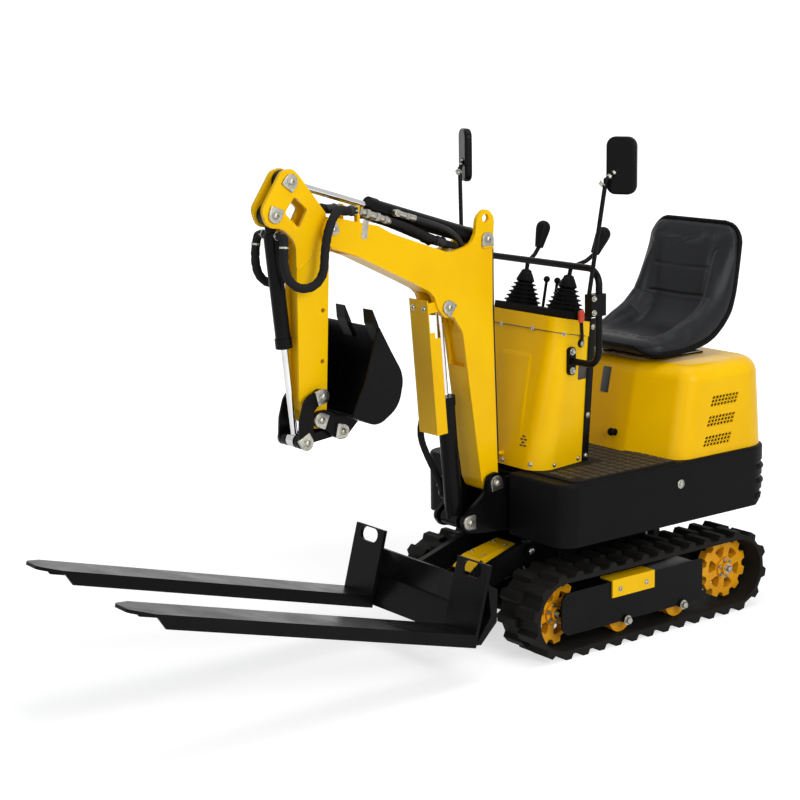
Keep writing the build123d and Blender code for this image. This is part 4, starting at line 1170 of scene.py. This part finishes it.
    def tiles(self, machine: Machine) -> None:
        """Square pads over the mat, left out where the console stands and where the mat is cut or bare."""
        low, high = machine.box("floor_mat")
        foot_low, _ = machine.box("console")
        half = (self.tile - self.tile_gap) / 2
        pad = plate(rectangle(half, half, 2, 3), self.tile_rise, 1.0)
        x, y = np.meshgrid(np.arange(low[0] + half + 12, high[0] - half - 4, self.tile),
                           np.arange(low[1] + half + 8, high[1] - half, self.tile), indexing="ij")
        x, y = x.ravel(), y.ravel()
        under = (x > foot_low[0] - half) & (np.abs(y) < self.foot_half + half)
        notch = (x > self.boom_notch[0] - half) & (np.abs(y) < self.boom_notch[1] + half)
        corner = (x > self.cut_corner[0]) & (np.abs(y) > self.cut_corner[1])
        spare = (np.abs(y) <= self.bare_strip[1]) & (x < self.bare_strip[0] + half + 4)
        keep = ~(under | notch | corner | spare)
        places = np.tile(np.eye(4), (int(keep.sum()), 1, 1))
        places[:, 0, 3], places[:, 1, 3], places[:, 2, 3] = x[keep], y[keep], high[2]
        # The pads' warm brown tone is a painted reflection of the surrounding yellow paint
        machine.add("floor_mat_tiles", pad.copies(places), MAT_RUBBER_PAINTED_REFLECTION, Body.HOUSE)

    def fittings(self, machine: Machine) -> None:
        """Lock on the skirt, release knob and blank plate on the hood's front."""
        lock = revolved([(15, -1), (15, 2.5), (13, 4), (11.5, 4), (11, 2.2), (7.5, 2.2), (7, 4.6), (1.6, 5.2),
                         (1.4, 3)])
        places = machine.places_on("skirt", [self.lock], FROM_LEFT)
        machine.add("skirt_lock", lock.copies(places), ZINC_PLATE, Body.HOUSE)
        knob = revolved([(12, -1), (12, 3), (8, 5), (8, 12), (13, 15), (13.5, 22), (11, 26), (4, 27)])
        places = machine.places_on("hood", [self.knob], FROM_AHEAD)
        machine.add("hood_release_knob", knob.copies(places), MOULDED_PLASTIC, Body.HOUSE)
        blank = plate(rectangle(19, 44, 4, 4), 1.6, 0.6)
        places = machine.places_on("hood", [self.blank], FROM_AHEAD, LEFT)
        machine.add("hood_blank_plate", blank.copies(places), DARK_PLATE_AND_SLOT_SHADE, Body.HOUSE)


@dataclass
class Seat:
    """One-piece padded seat in a shell with a rim.

    Attributes:
        base: Side-view line of the shell, from the front lip under the pan and up the back.
        middle: Height of the padding over that line on the middle plane, at the same stations.
        bolster: Height of the rolled sides at the same stations.
        half_width: Half width between the rounded corners.
        corner: Radius of the front and of the top corners in plan.
        edge: Depth over which the front and the top edges close.
        belly: Bulge of the shell behind its line.
        grooves: Heights of the two sewn lines across the back.
        panel_half: Half width of the inner panel, where the rolled sides are sewn on.
        stations: Sections along the line.
        around: Points round a section.
        swell: Furthest that the skin swells.
        groove_depth: Depth of the sewn lines.
        groove_half: Half width of the lines across the back.
        back_z: Height where the back starts.
        flare_z: Height above which the panel's seam flares outwards.
        flare: How far it flares.
        seam_top: Height where the seam ends on the back.
        seam_front: X where the seam ends on the pan.
        slide_half: Half width of the slide's base plate.
    """

    base: tuple[tuple[float, float], ...] = (
        (-138, 910), (-175, 903), (-230, 902), (-300, 906), (-344, 913), (-396, 924), (-437, 942),
        (-480, 977), (-515, 1020), (-534, 1080), (-546, 1150), (-555, 1212), (-562, 1266), (-571, 1310))
    middle: tuple[float, ...] = (38, 52, 46, 38, 34, 32, 34, 38, 42, 46, 48, 46, 40, 26)
    bolster: tuple[float, ...] = (38, 54, 60, 84, 102, 114, 116, 116, 112, 102, 82, 58, 44, 26)
    half_width: float = 205.0
    corner: tuple[float, float] = (84.0, 68.0)
    edge: tuple[float, float] = (26.0, 18.0)
    belly: float = 8.0
    grooves: tuple[float, float] = (1157.0, 1060.0)
    panel_half: float = 138.0
    stations: int = 140
    around: int = 144
    swell: float = 4.0
    groove_depth: float = 6.0
    groove_half: float = 4.5
    back_z: float = 1000.0
    flare_z: float = 1205.0
    flare: float = 46.0
    seam_top: float = 1250.0
    seam_front: float = -190.0
    slide_half: float = 142.0

    def read(self, values: tuple, way: Array, at: Array) -> Array:
        """Values at even steps along the line, rounded off by a short running mean."""
        window = np.hanning(15) / np.hanning(15).sum()
        plain = np.interp(at, way, np.array(values, float))
        return np.convolve(np.pad(plain, 7, mode="reflect", reflect_type="odd"), window, mode="valid")

    def section(self) -> tuple[Array, Array]:
        """Share across and share of the height of one section, at even steps round a squared oval."""
        fine = np.linspace(0, 2 * np.pi, 4001)
        across = np.sign(np.cos(fine)) * np.abs(np.cos(fine)) ** 0.45
        over = np.sign(np.sin(fine)) * np.abs(np.sin(fine)) ** 0.5
        run = np.hypot(np.diff(across) * self.half_width, np.diff(over) * 60.0)
        run = np.concatenate([[0], np.cumsum(run)])
        even = np.interp(np.linspace(0, run[-1], self.around, endpoint=False), run, np.arange(4001))
        return np.interp(even, np.arange(4001), across), np.interp(even, np.arange(4001), over)

    def lattice(self) -> tuple[Array, Array]:
        """Points of the padding and how far over its rim each one is.

        At each station of the base line a squared oval lies across it. Its upper half has the middle's
        height, and rises by a smooth step to the bolster's height towards both sides. Corners narrow the
        width by a quarter circle, and the two ends close on a quarter oval.

        Returns:
            Points as (stations, around, 3) and the share of the height as (stations, around).
        """
        knots = np.array(self.base, float)
        way = way_along(knots)
        at = np.linspace(0, way[-1], self.stations)
        rows = (knots[:, 0], knots[:, 1], self.middle, self.bolster)
        x, z, mid, side = (self.read(row, way, at) for row in rows)
        along = np.gradient(np.stack([x, z], -1), axis=0)
        along /= np.linalg.norm(along, axis=1)[:, None]
        ends = np.stack([at, way[-1] - at])
        near = np.clip(1 - ends / np.array(self.corner)[:, None], 0, 1)
        half = self.half_width - (np.array(self.corner)[:, None] * (1 - np.sqrt(1 - near ** 2))).sum(0)
        brink = np.clip(1 - ends / np.array(self.edge)[:, None], 0, 1)
        shut = np.sqrt(np.clip(1 - brink ** 2, 0.004, 1)).prod(0)
        across, over = (np.roll(v[::-1], 1) for v in self.section())
        step = np.clip((np.abs(across) - 0.5) / 0.36, 0, 1)
        step = step * step * (3 - 2 * step)
        tall = mid[:, None] + (side - mid)[:, None] * step
        rise = np.where(over > 0, tall * over, self.belly * over)
        level = 0.45 * mid[:, None]
        rise = level + (rise - level) * shut[:, None]
        points = np.stack([x[:, None] + along[:, 1:] * rise, half[:, None] * across,
                           z[:, None] - along[:, :1] * rise], -1)
        return points, np.broadcast_to(over, rise.shape)

    def build(self, machine: Machine) -> None:
        """Make the padding, let it swell, sink its sewn lines and put the rim round it."""
        points, over = self.lattice()
        made = machine.add("seat_padding", Surface.rings(points), SEAT_VINYL, None, 70.0)
        self.inflate(made)
        self.sew(machine, made, over)
        fine = made.modifiers.new("smooth skin", "SUBSURF")
        fine.levels = fine.render_levels = 1
        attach(made, Body.HOUSE.value)
        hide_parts("seat")
        self.rim(machine, points)
        self.rails(machine)

    def rails(self, machine: Machine) -> None:
        """Slide under the seat: a base plate, two flanged rails and the lever that frees them."""
        (x0, _, z0), (x1, _, z1) = machine.box("seat_slide")
        tall = z1 - z0
        half_x, half_y = (x1 - x0) / 2 - 12, self.slide_half
        foot = np.array([(x0 + x1) / 2, 0.0, z0])
        base = plate(rectangle(half_x, half_y, 8, 4), 5.0, 1.0).placed(place_at(foot, UP))
        flange = rounded([(-17, 0, 1), (17, 0, 1), (17, 5, 1), (9, 6, 1), (9, tall - 11, 1),
                          (14, tall - 9, 1), (14, tall - 5, 1), (-14, tall - 5, 1), (-14, tall - 9, 1),
                          (-9, tall - 11, 1), (-9, 6, 1), (-17, 5, 1)], 3)
        along = np.linspace(-half_x + 6, half_x + 10, 5)[:, None] * AHEAD
        rail = swept(flange, along + foot + np.array([0, half_y - 28, 5.0]), -LEFT)
        bend = np.array([[0, 0, 0], [40, 0, 0], [58, 8, 4], [66, 40, 6], [68, 84, 6]], float)
        lever = swept(circle(4.5, 10), bend + foot + np.array([half_x - 20, half_y - 60, 12.0]), UP)
        slide = Surface.joined([base, rail, rail.mirrored(), lever])
        made = machine.add("seat_slide_rails", slide, BLACK_ENAMEL, Body.HOUSE)
        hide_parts("seat_slide")

    def inflate(self, made: bpy.types.Object) -> None:
        """Let the skin swell by cloth pressure, no further than the cap."""
        mesh = made.data
        rest = np.empty(len(mesh.vertices) * 3, np.float32)
        mesh.vertices.foreach_get("co", rest)
        cloth = made.modifiers.new("swell", "CLOTH")
        cloth.settings.use_pressure = True
        cloth.settings.uniform_pressure_force = 4.0
        cloth.settings.effector_weights.gravity = 0.0
        scene = bpy.context.scene
        for step in range(1, 13):
            scene.frame_set(step)
        swollen = made.evaluated_get(bpy.context.evaluated_depsgraph_get()).data
        grown = np.empty(len(mesh.vertices) * 3, np.float32)
        swollen.vertices.foreach_get("co", grown)
        made.modifiers.remove(cloth)
        scene.frame_set(1)
        move = (grown - rest).reshape(-1, 3)
        reach = np.linalg.norm(move, axis=1)[:, None]
        move *= np.minimum(1.0, self.swell * MM / np.maximum(reach, 1e-9))
        mesh.vertices.foreach_set("co", (rest.reshape(-1, 3) + move).astype(np.float32).ravel())
        mesh.update()

    def sew(self, machine: Machine, made: bpy.types.Object, over: Array) -> None:
        """Sink two lines across the back and the seam of the inner panel, along the skin's normals.

        Each line is a bell curve of the distance from it. The seam flares outwards above the upper line.

        Args:
            machine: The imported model.
            made: The padding.
            over: Share of the height of each point, above nought on the sitting side.
        """
        mesh = made.data
        count = len(mesh.vertices)
        spots, normals = np.empty(count * 3, np.float32), np.empty(count * 3, np.float32)
        mesh.vertices.foreach_get("co", spots)
        mesh.vertex_normals.foreach_get("vector", normals)
        spots, normals = spots.reshape(-1, 3), normals.reshape(-1, 3)
        x, y, z = (spots / MM + np.array([machine.origin_x, 0, 0])).T
        back = np.clip((z - self.back_z) / 20, 0, 1)
        lines = sum(np.exp(-((z - g - 0.03 * np.abs(y)) / self.groove_half) ** 2) for g in self.grooves)
        lines = lines * back * np.clip((self.panel_half - 6 - np.abs(y)) / 6, 0, 1)
        wide = self.panel_half + self.flare * np.clip((z - self.flare_z) / 40, 0, 1) ** 2
        wide = wide + 8 * np.clip((self.back_z - z) / 60, 0, 1)
        seam = 0.6 * np.exp(-((np.abs(y) - wide) / 6.0) ** 2) * np.clip((self.seam_top - z) / 16, 0, 1)
        seam = seam * np.clip((self.seam_front - x) / 40, 0, 1)
        depth = self.groove_depth * MM * np.clip(lines + seam, 0, 1) * (over.ravel() > 0.3)
        mesh.vertices.foreach_set("co", (spots - normals * depth[:, None]).astype(np.float32).ravel())
        mesh.update()

    def rim(self, machine: Machine, points: Array) -> None:
        """Moulded rim: a rounded bar carried once round the widest line of the padding."""
        half = self.around // 2
        path = np.concatenate([points[:, 0], points[-1, 1:half], points[::-1, half], points[0, 1:half][::-1]])
        bar = rectangle(9, 6, 4, 4)
        up_ahead = np.array([1.0, 0.0, 1.0]) / math.sqrt(2)
        machine.add("seat_rim", swept(bar, path, up_ahead, closed=True), MOULDED_PLASTIC, Body.HOUSE)


@dataclass
class OperatorStation:
    """Console, levers, rail and mirrors.

    Attributes:
        foot_z: Height of the console's foot.
        top_z: Height of the console's top at its front edge.
        front_x: X of the console's front at its top.
        front_lean: How much further ahead the front is at the foot.
        rear_edge: Depth of the rear edge behind the front at the top, and how much more it is at the foot.
        side_edge: Half width of the console at the top, and how much less it is at the foot.
        strap_width: Width of the straps.
        strap_bolts: Heights of the straps' bolts.
        top_slope: Slope of the console's top in degrees.
        lid_drop: Place of the gap under the lid, over the top.
        stick: Foot of the left lever along, across and over the top.
        panel_half: Half width of the pressed panel.
        panel_rise: Its height over the front.
        panel_z: Heights of its lower and upper edge.
        panel_fade: Height where its rise begins, and the way over which it grows to full.
        slots: Y and Z of the slots.
        front_bolts: Y and Z of the bolts on the front.
        side_bolts: X and Z of the bolts on both sides.
        rail_bolts: Bolts of the handrail's left flange.
        clamp_bolts: Bolts of the left mirror's clamp.
        lock_pin: Point ahead of the lock pin.
        throttle_foot: Point to the left of the throttle lever's foot.
        throttle_tip: X and Z of the lever's tip.
        blank: Point to the left of the blank plate.
        mirror_head: Middle of the left mirror's head.
        mirror_turn: Turn of its glass about the upright axis, in degrees from straight back.
        mirror_joint: Top of the left mirror's stalk.
    """

    foot_z: float = 578.0
    top_z: float = 1072.0
    front_x: float = 245.0
    front_lean: float = 90.0
    rear_edge: tuple[float, float] = (140.0, 7.0)
    side_edge: tuple[float, float] = (188.0, 46.0)
    strap_width: float = 26.0
    strap_bolts: tuple[float, ...] = (596.0, 735.0, 905.0, 1030.0)
    top_slope: float = 11.0
    lid_drop: float = -47.0
    stick: Point = (-86.0, 104.0, 24.6)
    panel_half: float = 76.0
    panel_rise: float = 3.0
    panel_z: tuple[float, float] = (610.0, 948.0)
    panel_fade: tuple[float, float] = (620.0, 160.0)
    slots: tuple[tuple[float, float], ...] = (
        (88, 682), (80, 672), (98, 672), (88, 662), (80, 652), (98, 652))
    front_bolts: tuple[tuple[float, float], ...] = (
        (-93, 1023), (65, 1027), (-130, 597), (130, 597), (0, 592))
    side_bolts: tuple[tuple[float, float], ...] = ((258, 592), (136, 592), (226, 1020))
    rail_bolts: tuple[Point, ...] = ((205.0, 198.0, 961.0), (205.0, 198.0, 899.0))
    clamp_bolts: tuple[Point, ...] = ((241.0, 336.0, 1150.0), (241.0, 336.0, 1105.0))
    lock_pin: Point = (FAR_AHEAD, -8.0, 612.0)
    throttle_foot: Point = (158.0, FAR_LEFT, 982.0)
    throttle_tip: tuple[float, float] = (166.0, 1058.0)
    blank: Point = (138.0, FAR_LEFT, 890.0)
    mirror_head: Point = (168.0, 380.0, 1561.0)
    mirror_turn: float = 25.0
    mirror_joint: Point = (212.0, 356.0, 1518.0)

    def share(self, z: Array) -> Array:
        """Way up the console, from nought at the foot to one at the top."""
        return (z - self.foot_z) / (self.top_z - self.foot_z)

    def edge(self, z: Array, ahead: float, out: float) -> Array:
        """Points by the console's left rear edge at some heights.

        Args:
            z: The heights.
            ahead: How far the points lie ahead of the edge.
            out: How far they lie outside it.

        Returns:
            Points as (heights, 3).
        """
        t = self.share(z)
        x = self.front_x - self.rear_edge[0] - self.rear_edge[1] * (1 - t)
        y = self.side_edge[0] - self.side_edge[1] * (1 - t)
        return np.stack([x + ahead, y + out, z], -1)

    def build(self, machine: Machine) -> None:
        """Dress the station and add its small pieces."""
        machine.dress(YELLOW_ENAMEL, "console")
        machine.dress(MOULDED_PLASTIC, "control_tray", "left_joystick", "right_joystick")
        machine.dress(BLACK_ENAMEL, "handrail", "left_mirror", "right_mirror")
        self.straps(machine)
        self.panel(machine)
        self.bolts(machine)
        self.throttle(machine)
        self.stub(machine)
        self.boots(machine)
        self.seam(machine)
        self.mirrors(machine)

    def straps(self, machine: Machine) -> None:
        """Flat bars down both rear edges of the console, bent where its side draws in."""
        path = self.edge(np.linspace(self.foot_z + 1, self.top_z - 14, 24), 4.0, 3.0)
        shape = swept(rectangle(self.strap_width / 2, 2.5, 1, 3), path, AHEAD)
        machine.add("console_straps", shape.paired(), BLACK_ENAMEL, Body.HOUSE)
        bolts = button_bolt(7).copies(outward(self.edge(np.array(self.strap_bolts), 4.0, 5.5)))
        machine.add("strap_bolts", bolts.paired(), ZINC_PLATE, Body.HOUSE)

    def panel(self, machine: Machine) -> None:
        """Pressed panel on the console's front, and dark plates below it that paint the shade inside its
        slots.

        Its rise over the front plane is a soft step from each edge and fades out towards the foot.
        """
        s, t = np.meshgrid(np.linspace(1, -1, 49), np.linspace(0, 1, 61), indexing="ij")
        y = s * self.panel_half * (1 + 0.05 * (1 - t))
        low, high = self.panel_z
        z = low + (high - low) * t
        edge = np.minimum(self.panel_half * (1 - np.abs(s)), (1 - t) * (high - low))
        soft = np.clip(edge / 12.0, 0, 1)
        fade = np.clip((z - self.panel_fade[0]) / self.panel_fade[1], 0, 1)
        rise = self.panel_rise * soft * soft * (3 - 2 * soft) * fade * fade * (3 - 2 * fade) - 0.3
        x = self.front_x + self.front_lean * (1 - self.share(z)) + rise
        machine.add("console_panel", Surface.grid(np.stack([x, y, z], -1)), YELLOW_ENAMEL, Body.HOUSE, 80.0)
        # Thin dark plates in the slots: painted shade of the openings
        slot = plate(rectangle(7, 2.6, 2.5, 4), 0.9, 0.2)
        starts = [(FAR_AHEAD, y0, z0) for y0, z0 in self.slots]
        places = machine.places_on("console", starts, FROM_AHEAD, LEFT, 0.2)
        machine.add("console_slot_shade", slot.copies(places), DARK_PLATE_AND_SLOT_SHADE, Body.HOUSE)

    def bolts(self, machine: Machine) -> None:
        """Bolts of the console's foot, lid, flanges and mirror clamps."""
        spots = [machine.seat_on("console", (FAR_AHEAD, y, z), FROM_AHEAD) for y, z in self.front_bolts]
        for x, z in self.side_bolts:
            spot, normal = machine.seat_on("console", (x, FAR_LEFT, z), FROM_LEFT)
            spots += [(spot, normal), (spot * FLIP, normal * FLIP)]
        places = np.array([place_at(p, n) for p, n in spots])
        machine.add("console_bolts", button_bolt(6.5).copies(places), ZINC_PLATE, Body.HOUSE)
        flanges = hex_bolt(13).copies(outward(self.rail_bolts))
        clamps = hex_bolt(11).copies(outward(self.clamp_bolts))
        both = Surface.joined([flanges, clamps])
        machine.add("rail_bolts", both.paired(), ZINC_PLATE, Body.HOUSE)

    def tilted(self, ahead: float, across: float, over: float) -> Array:
        """Point given along the console's sloping top, from the middle of its front edge."""
        lean = math.radians(self.top_slope)
        along = np.array([math.cos(lean), 0, math.sin(lean)])
        up = np.array([-math.sin(lean), 0, math.cos(lean)])
        return np.array([self.front_x, 0, self.top_z]) + ahead * along + across * LEFT + over * up

    def boots(self, machine: Machine) -> None:
        """Wide pleated boots over the levers' feet, under a plain cone."""
        folds = np.arange(5)
        rim, step = 62 - 6.0 * folds, 5 + 14.0 * folds
        folded = ((rim - 8, step), (rim, step + 3), (rim, step + 6), (rim - 14, step + 10))
        pleats = np.stack([np.stack(pair, -1) for pair in folded], 1).reshape(-1, 2)
        profile = [(54, 0.5), (54, 4), *pleats.tolist(), (31, 78), (29, 84), (22, 99), (15, 112), (9, 116)]
        foot = self.tilted(*self.stick)
        axis = self.tilted(0, 0, 1) - self.tilted(0, 0, 0)
        boot = revolved(profile, 40).placed(place_at(foot, axis))
        machine.add("joystick_boots", boot.paired(), MOULDED_PLASTIC, Body.HOUSE, 50.0)

    def seam(self, machine: Machine) -> None:
        """Painted shade in the gap under the console's lid: a thin dark bar where level lines towards its
        middle meet the console.
        """
        turn = np.radians(np.linspace(-104.0, 104.0, 61))
        middle = self.tilted(-70, 0, self.lid_drop)
        slope = math.tan(math.radians(self.top_slope))
        rays = np.stack([np.cos(turn), np.sin(turn), slope * np.cos(turn)], -1)
        spots = np.array([machine.seat_on("console", tuple(middle + 500 * r), tuple(-r))[0] for r in rays])
        # The thin dark bar paints the shade inside the lid gap
        gap = rectangle(1.3, 0.8, 0.3, 2)
        machine.add("console_lid_gap_shade", swept(gap, spots, UP), DARK_PLATE_AND_SLOT_SHADE, Body.HOUSE)

    def stub(self, machine: Machine) -> None:
        """Yellow lock pin with a ribbed end, low on the console's front."""
        pin = revolved([(11, -1), (11, 2), (6, 3), (6, 26), (9, 27), (9, 30), (6, 31), (6, 34), (9, 35),
                        (9, 38), (5, 40)])
        places = machine.places_on("console", [self.lock_pin], FROM_AHEAD)
        machine.add("console_lock_pin", pin.copies(places), YELLOW_ENAMEL, Body.HOUSE)

    def throttle(self, machine: Machine) -> None:
        """Throttle lever with its disc, bolt and red grip, and the blank plate below it."""
        foot, normal = machine.seat_on("console", self.throttle_foot, FROM_LEFT)
        tip = np.array([self.throttle_tip[0], foot[1] + 12, self.throttle_tip[1]])
        bar = rectangle(6, 2, 1, 3)
        path = np.stack([foot + normal * 5, foot + normal * 6 + (tip - foot) * 0.3, tip])
        machine.add("throttle_lever", swept(bar, path, AHEAD), BLACK_ENAMEL, Body.HOUSE)
        disc = revolved([(14, -1), (14, 4), (12, 5.5), (6, 6)])
        machine.add("throttle_disc", disc.placed(place_at(foot, normal)), BLACK_ENAMEL, Body.HOUSE)
        bolt = button_bolt(7).placed(place_at(foot + normal * 6.5, normal))
        machine.add("throttle_bolt", bolt, ZINC_PLATE, Body.HOUSE)
        grip = rectangle(11, 6, 4, 4)
        stem = np.linspace(0, 1, 7)[:, None] * np.array([2.0, 1.0, 38.0]) + tip - np.array([0, 0, 6.0])
        size = np.array([0.8, 0.95, 1.0, 1.02, 1.05, 1.0, 0.82])
        machine.add("throttle_grip", swept(grip, stem, AHEAD, size), RED_GRIP, Body.HOUSE)
        blank = plate(rectangle(24, 30, 3, 4), 1.4, 0.5)
        places = machine.places_on("console", [self.blank], FROM_LEFT, AHEAD)
        machine.add("console_blank_plate", blank.copies(places), DARK_PLATE_AND_SLOT_SHADE, Body.HOUSE)

    def mirrors(self, machine: Machine) -> None:
        """Silvered glass on the rear of both heads, and the zinc nuts of their ball joints."""
        head, turn = np.array(self.mirror_head), math.radians(self.mirror_turn)
        face = np.array([-math.cos(turn), -math.sin(turn), 0])
        outline = rectangle(41, 81, 24, 8)
        glass = plate(outline, 1.2, 0.6).placed(place_at(head + face * 12.6, face, np.cross(UP, face)))
        machine.add("mirror_glass", glass.paired(), SILVERED_GLASS, Body.HOUSE)
        top = np.array(self.mirror_joint)
        reach = (head - top) / np.linalg.norm(head - top)
        nuts = [hex_bolt(14).placed(place_at(top - reach * 14, -reach)),
                plate(rounded(hexagon(15), 3), 9, 1).placed(place_at(top + reach * 12, reach)),
                plate(rounded(hexagon(15), 3), 8, 1).placed(place_at(top + reach * 30, reach))]
        joint = Surface.joined(nuts)
        machine.add("mirror_nuts", joint.paired(), ZINC_PLATE, Body.HOUSE)


@dataclass(frozen=True)
class Flag:
    """Keeper plate on the left end of one pin.

    Attributes:
        spot: Pin axis in side view.
        face: Y of the face that it lies on.
        turn: Direction of its straight edge, in degrees from ahead towards up.
        body: Body that carries it.
        radius: Size of the plate's round end.
    """

    spot: tuple[float, float]
    face: float
    turn: float
    body: Body
    radius: float = 23.0


@dataclass
class DiggingGear:
    """Boom, arm, bucket, their cylinders and the keeper plates on their pins.

    Attributes:
        flags: Keeper plates.
        flag_thickness: Their thickness.
        eyes: Pin axis, radius and body of the cylinder eyes that show between the arm's bracket plates.
        eye_half: Half width of those eyes.
        bracket_edge: Side-view line of the bracket plates' lower edge on the arm.
        arm_half: Y of the arm's side face.
        guard: Points ahead of the guard's two bolts.
        tag_at: Point to the left of the blank tag.
        tag_lean: Direction of the tag's short side.
        stops: Outer end of the pin and turn in degrees of each pin stop on the boom.
        stop_reach: Distance of a stop from its pin.
    """

    eyes: tuple[tuple[tuple[float, float], float, Body], ...] = (
        ((1163, 1554), 33.0, Body.ARM_ROD), ((1220, 1460), 31.0, Body.BUCKET_BARREL))
    eye_half: float = 18.6
    bracket_edge: tuple[tuple[float, float], ...] = ((1148, 1300), (1140, 1296), (1096, 1330), (1076, 1370))
    arm_half: float = 32.0
    guard: tuple[Point, ...] = ((900.0, 27.0, 1129.0), (900.0, -27.0, 1129.0))
    tag_at: Point = (913.0, 300.0, 1397.0)
    tag_lean: Point = (1.0, 0.0, 0.15)
    stops: tuple[tuple[float, float, float, float], ...] = ((435, 50, 1329, -90), (594, 50, 1128, -142))
    stop_reach: float = 24.0
    flags: tuple[Flag, ...] = (
        Flag((425, 542), 74, -100, Body.HOUSE, 24.0), Flag((538, 428), 74, 180, Body.HOUSE, 24.0),
        Flag((435, 1329), 50, -90, Body.BOOM), Flag((594, 1128), 50, -142, Body.BOOM),
        Flag((1030, 1407), 54, 160, Body.BOOM, 17.0), Flag((1220, 1460), 32, 112, Body.ARM),
        Flag((1163, 1554), 32, -52, Body.ARM), Flag((1087, 912), 58, -15, Body.ROCKER),
        Flag((1149, 778), 58, 61, Body.ROCKER), Flag((1088, 838), 48, -157, Body.BUCKET),
        Flag((1010, 793), 48, 14, Body.BUCKET))
    flag_thickness: float = 7.5

    def build(self, machine: Machine) -> None:
        """Dress the digging gear and add its keeper plates, stops and guard bolts."""
        machine.dress(YELLOW_ENAMEL, "boom", "arm", "boom_cylinder_guard")
        machine.dress(BLACK_ENAMEL, "bucket", "rocker", "link", "boom_cylinder_barrel", "arm_cylinder_barrel",
                      "bucket_cylinder_barrel")
        machine.dress(HARD_CHROME, "boom_cylinder_rod", "arm_cylinder_rod", "bucket_cylinder_rod")
        self.keepers(machine)
        self.guard_bolts(machine)
        self.tag(machine)
        self.bracket(machine)

    def bracket(self, machine: Machine) -> None:
        """Cylinder eyes between the arm's bracket plates, and the weld along the plates' lower edge."""
        w = self.eye_half
        for (x, z), radius, body in self.eyes:
            eye = revolved([(radius - 2, -w), (radius, 2 - w), (radius, w - 2), (radius - 2, w)])
            eye = eye.placed(place_at(np.array([x, 0.0, z]), LEFT))
            machine.add(f"{body.value}_eye", eye, BLACK_ENAMEL, body)
        knots = np.array(self.bracket_edge, float)
        way = way_along(knots)
        at = np.linspace(0, way[-1], 70)
        path = np.stack([np.interp(at, way, knots[:, 0]), np.full(70, self.arm_half),
                         np.interp(at, way, knots[:, 1])], -1)
        bead = swept(circle(2.6, 8), path, LEFT, 1 + 0.12 * np.sin(at / 0.9))
        machine.add("arm_bracket_weld", bead.paired(), YELLOW_ENAMEL, Body.ARM)

    def keeper(self, flag: Flag) -> tuple[Surface, Surface]:
        """Keeper plate and its bolt: a square with one round end, its straight edge towards the flag's turn.

        Args:
            flag: Where the plate lies.

        Returns:
            The plate, joined with the plain collar on the pin's far end, and the bolt.
        """
        r = flag.radius
        outline = rounded([(r, -r, 3), (r, r, 3), (-r, r, r * 0.98), (-r, -r, r * 0.98)], 9)
        turn = math.radians(flag.turn)
        lean = np.array([math.cos(turn), 0, math.sin(turn)])
        spot = np.array([flag.spot[0], flag.face, flag.spot[1]])
        body = plate(outline, self.flag_thickness, 1.2).placed(place_at(spot, LEFT, lean))
        far = revolved([(r, 0), (r, 5), (r - 2, 7), (r * 0.62, 7.4), (r * 0.58, 6), (4, 6)])
        far = far.placed(place_at(spot * FLIP, -LEFT))
        bolt = button_bolt(r * 0.46).placed(place_at(spot + LEFT * (self.flag_thickness - 0.2), LEFT))
        return Surface.joined([body, far]), bolt

    def keepers(self, machine: Machine) -> None:
        """Keeper plates, pin ends and bolts, one piece for each body."""
        for body in dict.fromkeys(flag.body for flag in self.flags):
            made = [self.keeper(flag) for flag in self.flags if flag.body is body]
            machine.add(f"{body.value}_keepers", Surface.joined([part for pair in made for part in pair]),
                        ZINC_PLATE, body)
        stop = plate(rectangle(20, 3, 2, 3), 9, 1)
        stops = []
        for x, y, z, angle in self.stops:
            turn = math.radians(angle)
            way = np.array([math.cos(turn), 0, math.sin(turn)])
            spot = np.array([x, y, z]) + way * self.stop_reach
            stops.append(stop.placed(place_at(spot, LEFT, np.cross(LEFT, way))))
        machine.add("boom_pin_stops", Surface.joined(stops), YELLOW_ENAMEL, Body.BOOM)

    def guard_bolts(self, machine: Machine) -> None:
        """Two bolts that hold the boom cylinder guard."""
        places = machine.places_on("boom_cylinder_guard", self.guard, FROM_AHEAD)
        machine.add("boom_guard_bolts", button_bolt(8).copies(places), ZINC_PLATE, Body.BOOM)

    def tag(self, machine: Machine) -> None:
        """Blank metal tag on the boom's nose, below the couplings."""
        blank = plate(rectangle(11, 28, 3, 4), 1.2, 0.4)
        places = machine.places_on("boom", [self.tag_at], FROM_LEFT, np.array(self.tag_lean))
        machine.add("boom_blank_tag", blank.copies(places), ZINC_PLATE, Body.BOOM)


def main() -> None:
    """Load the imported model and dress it, one sub-assembly after another."""
    logging.basicConfig(level=logging.INFO, format="%(message)s")
    machine = Machine(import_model())
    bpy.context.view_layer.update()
    Studio().build(machine)
    for part in (Hydraulics(), RunningGear(), BladeAndForks(), UpperStructure(), Seat(), OperatorStation(),
                 DiggingGear()):
        part.build(machine)
    LOG.info("%d pieces added", machine.count)


if __name__ == "__main__":
    main()
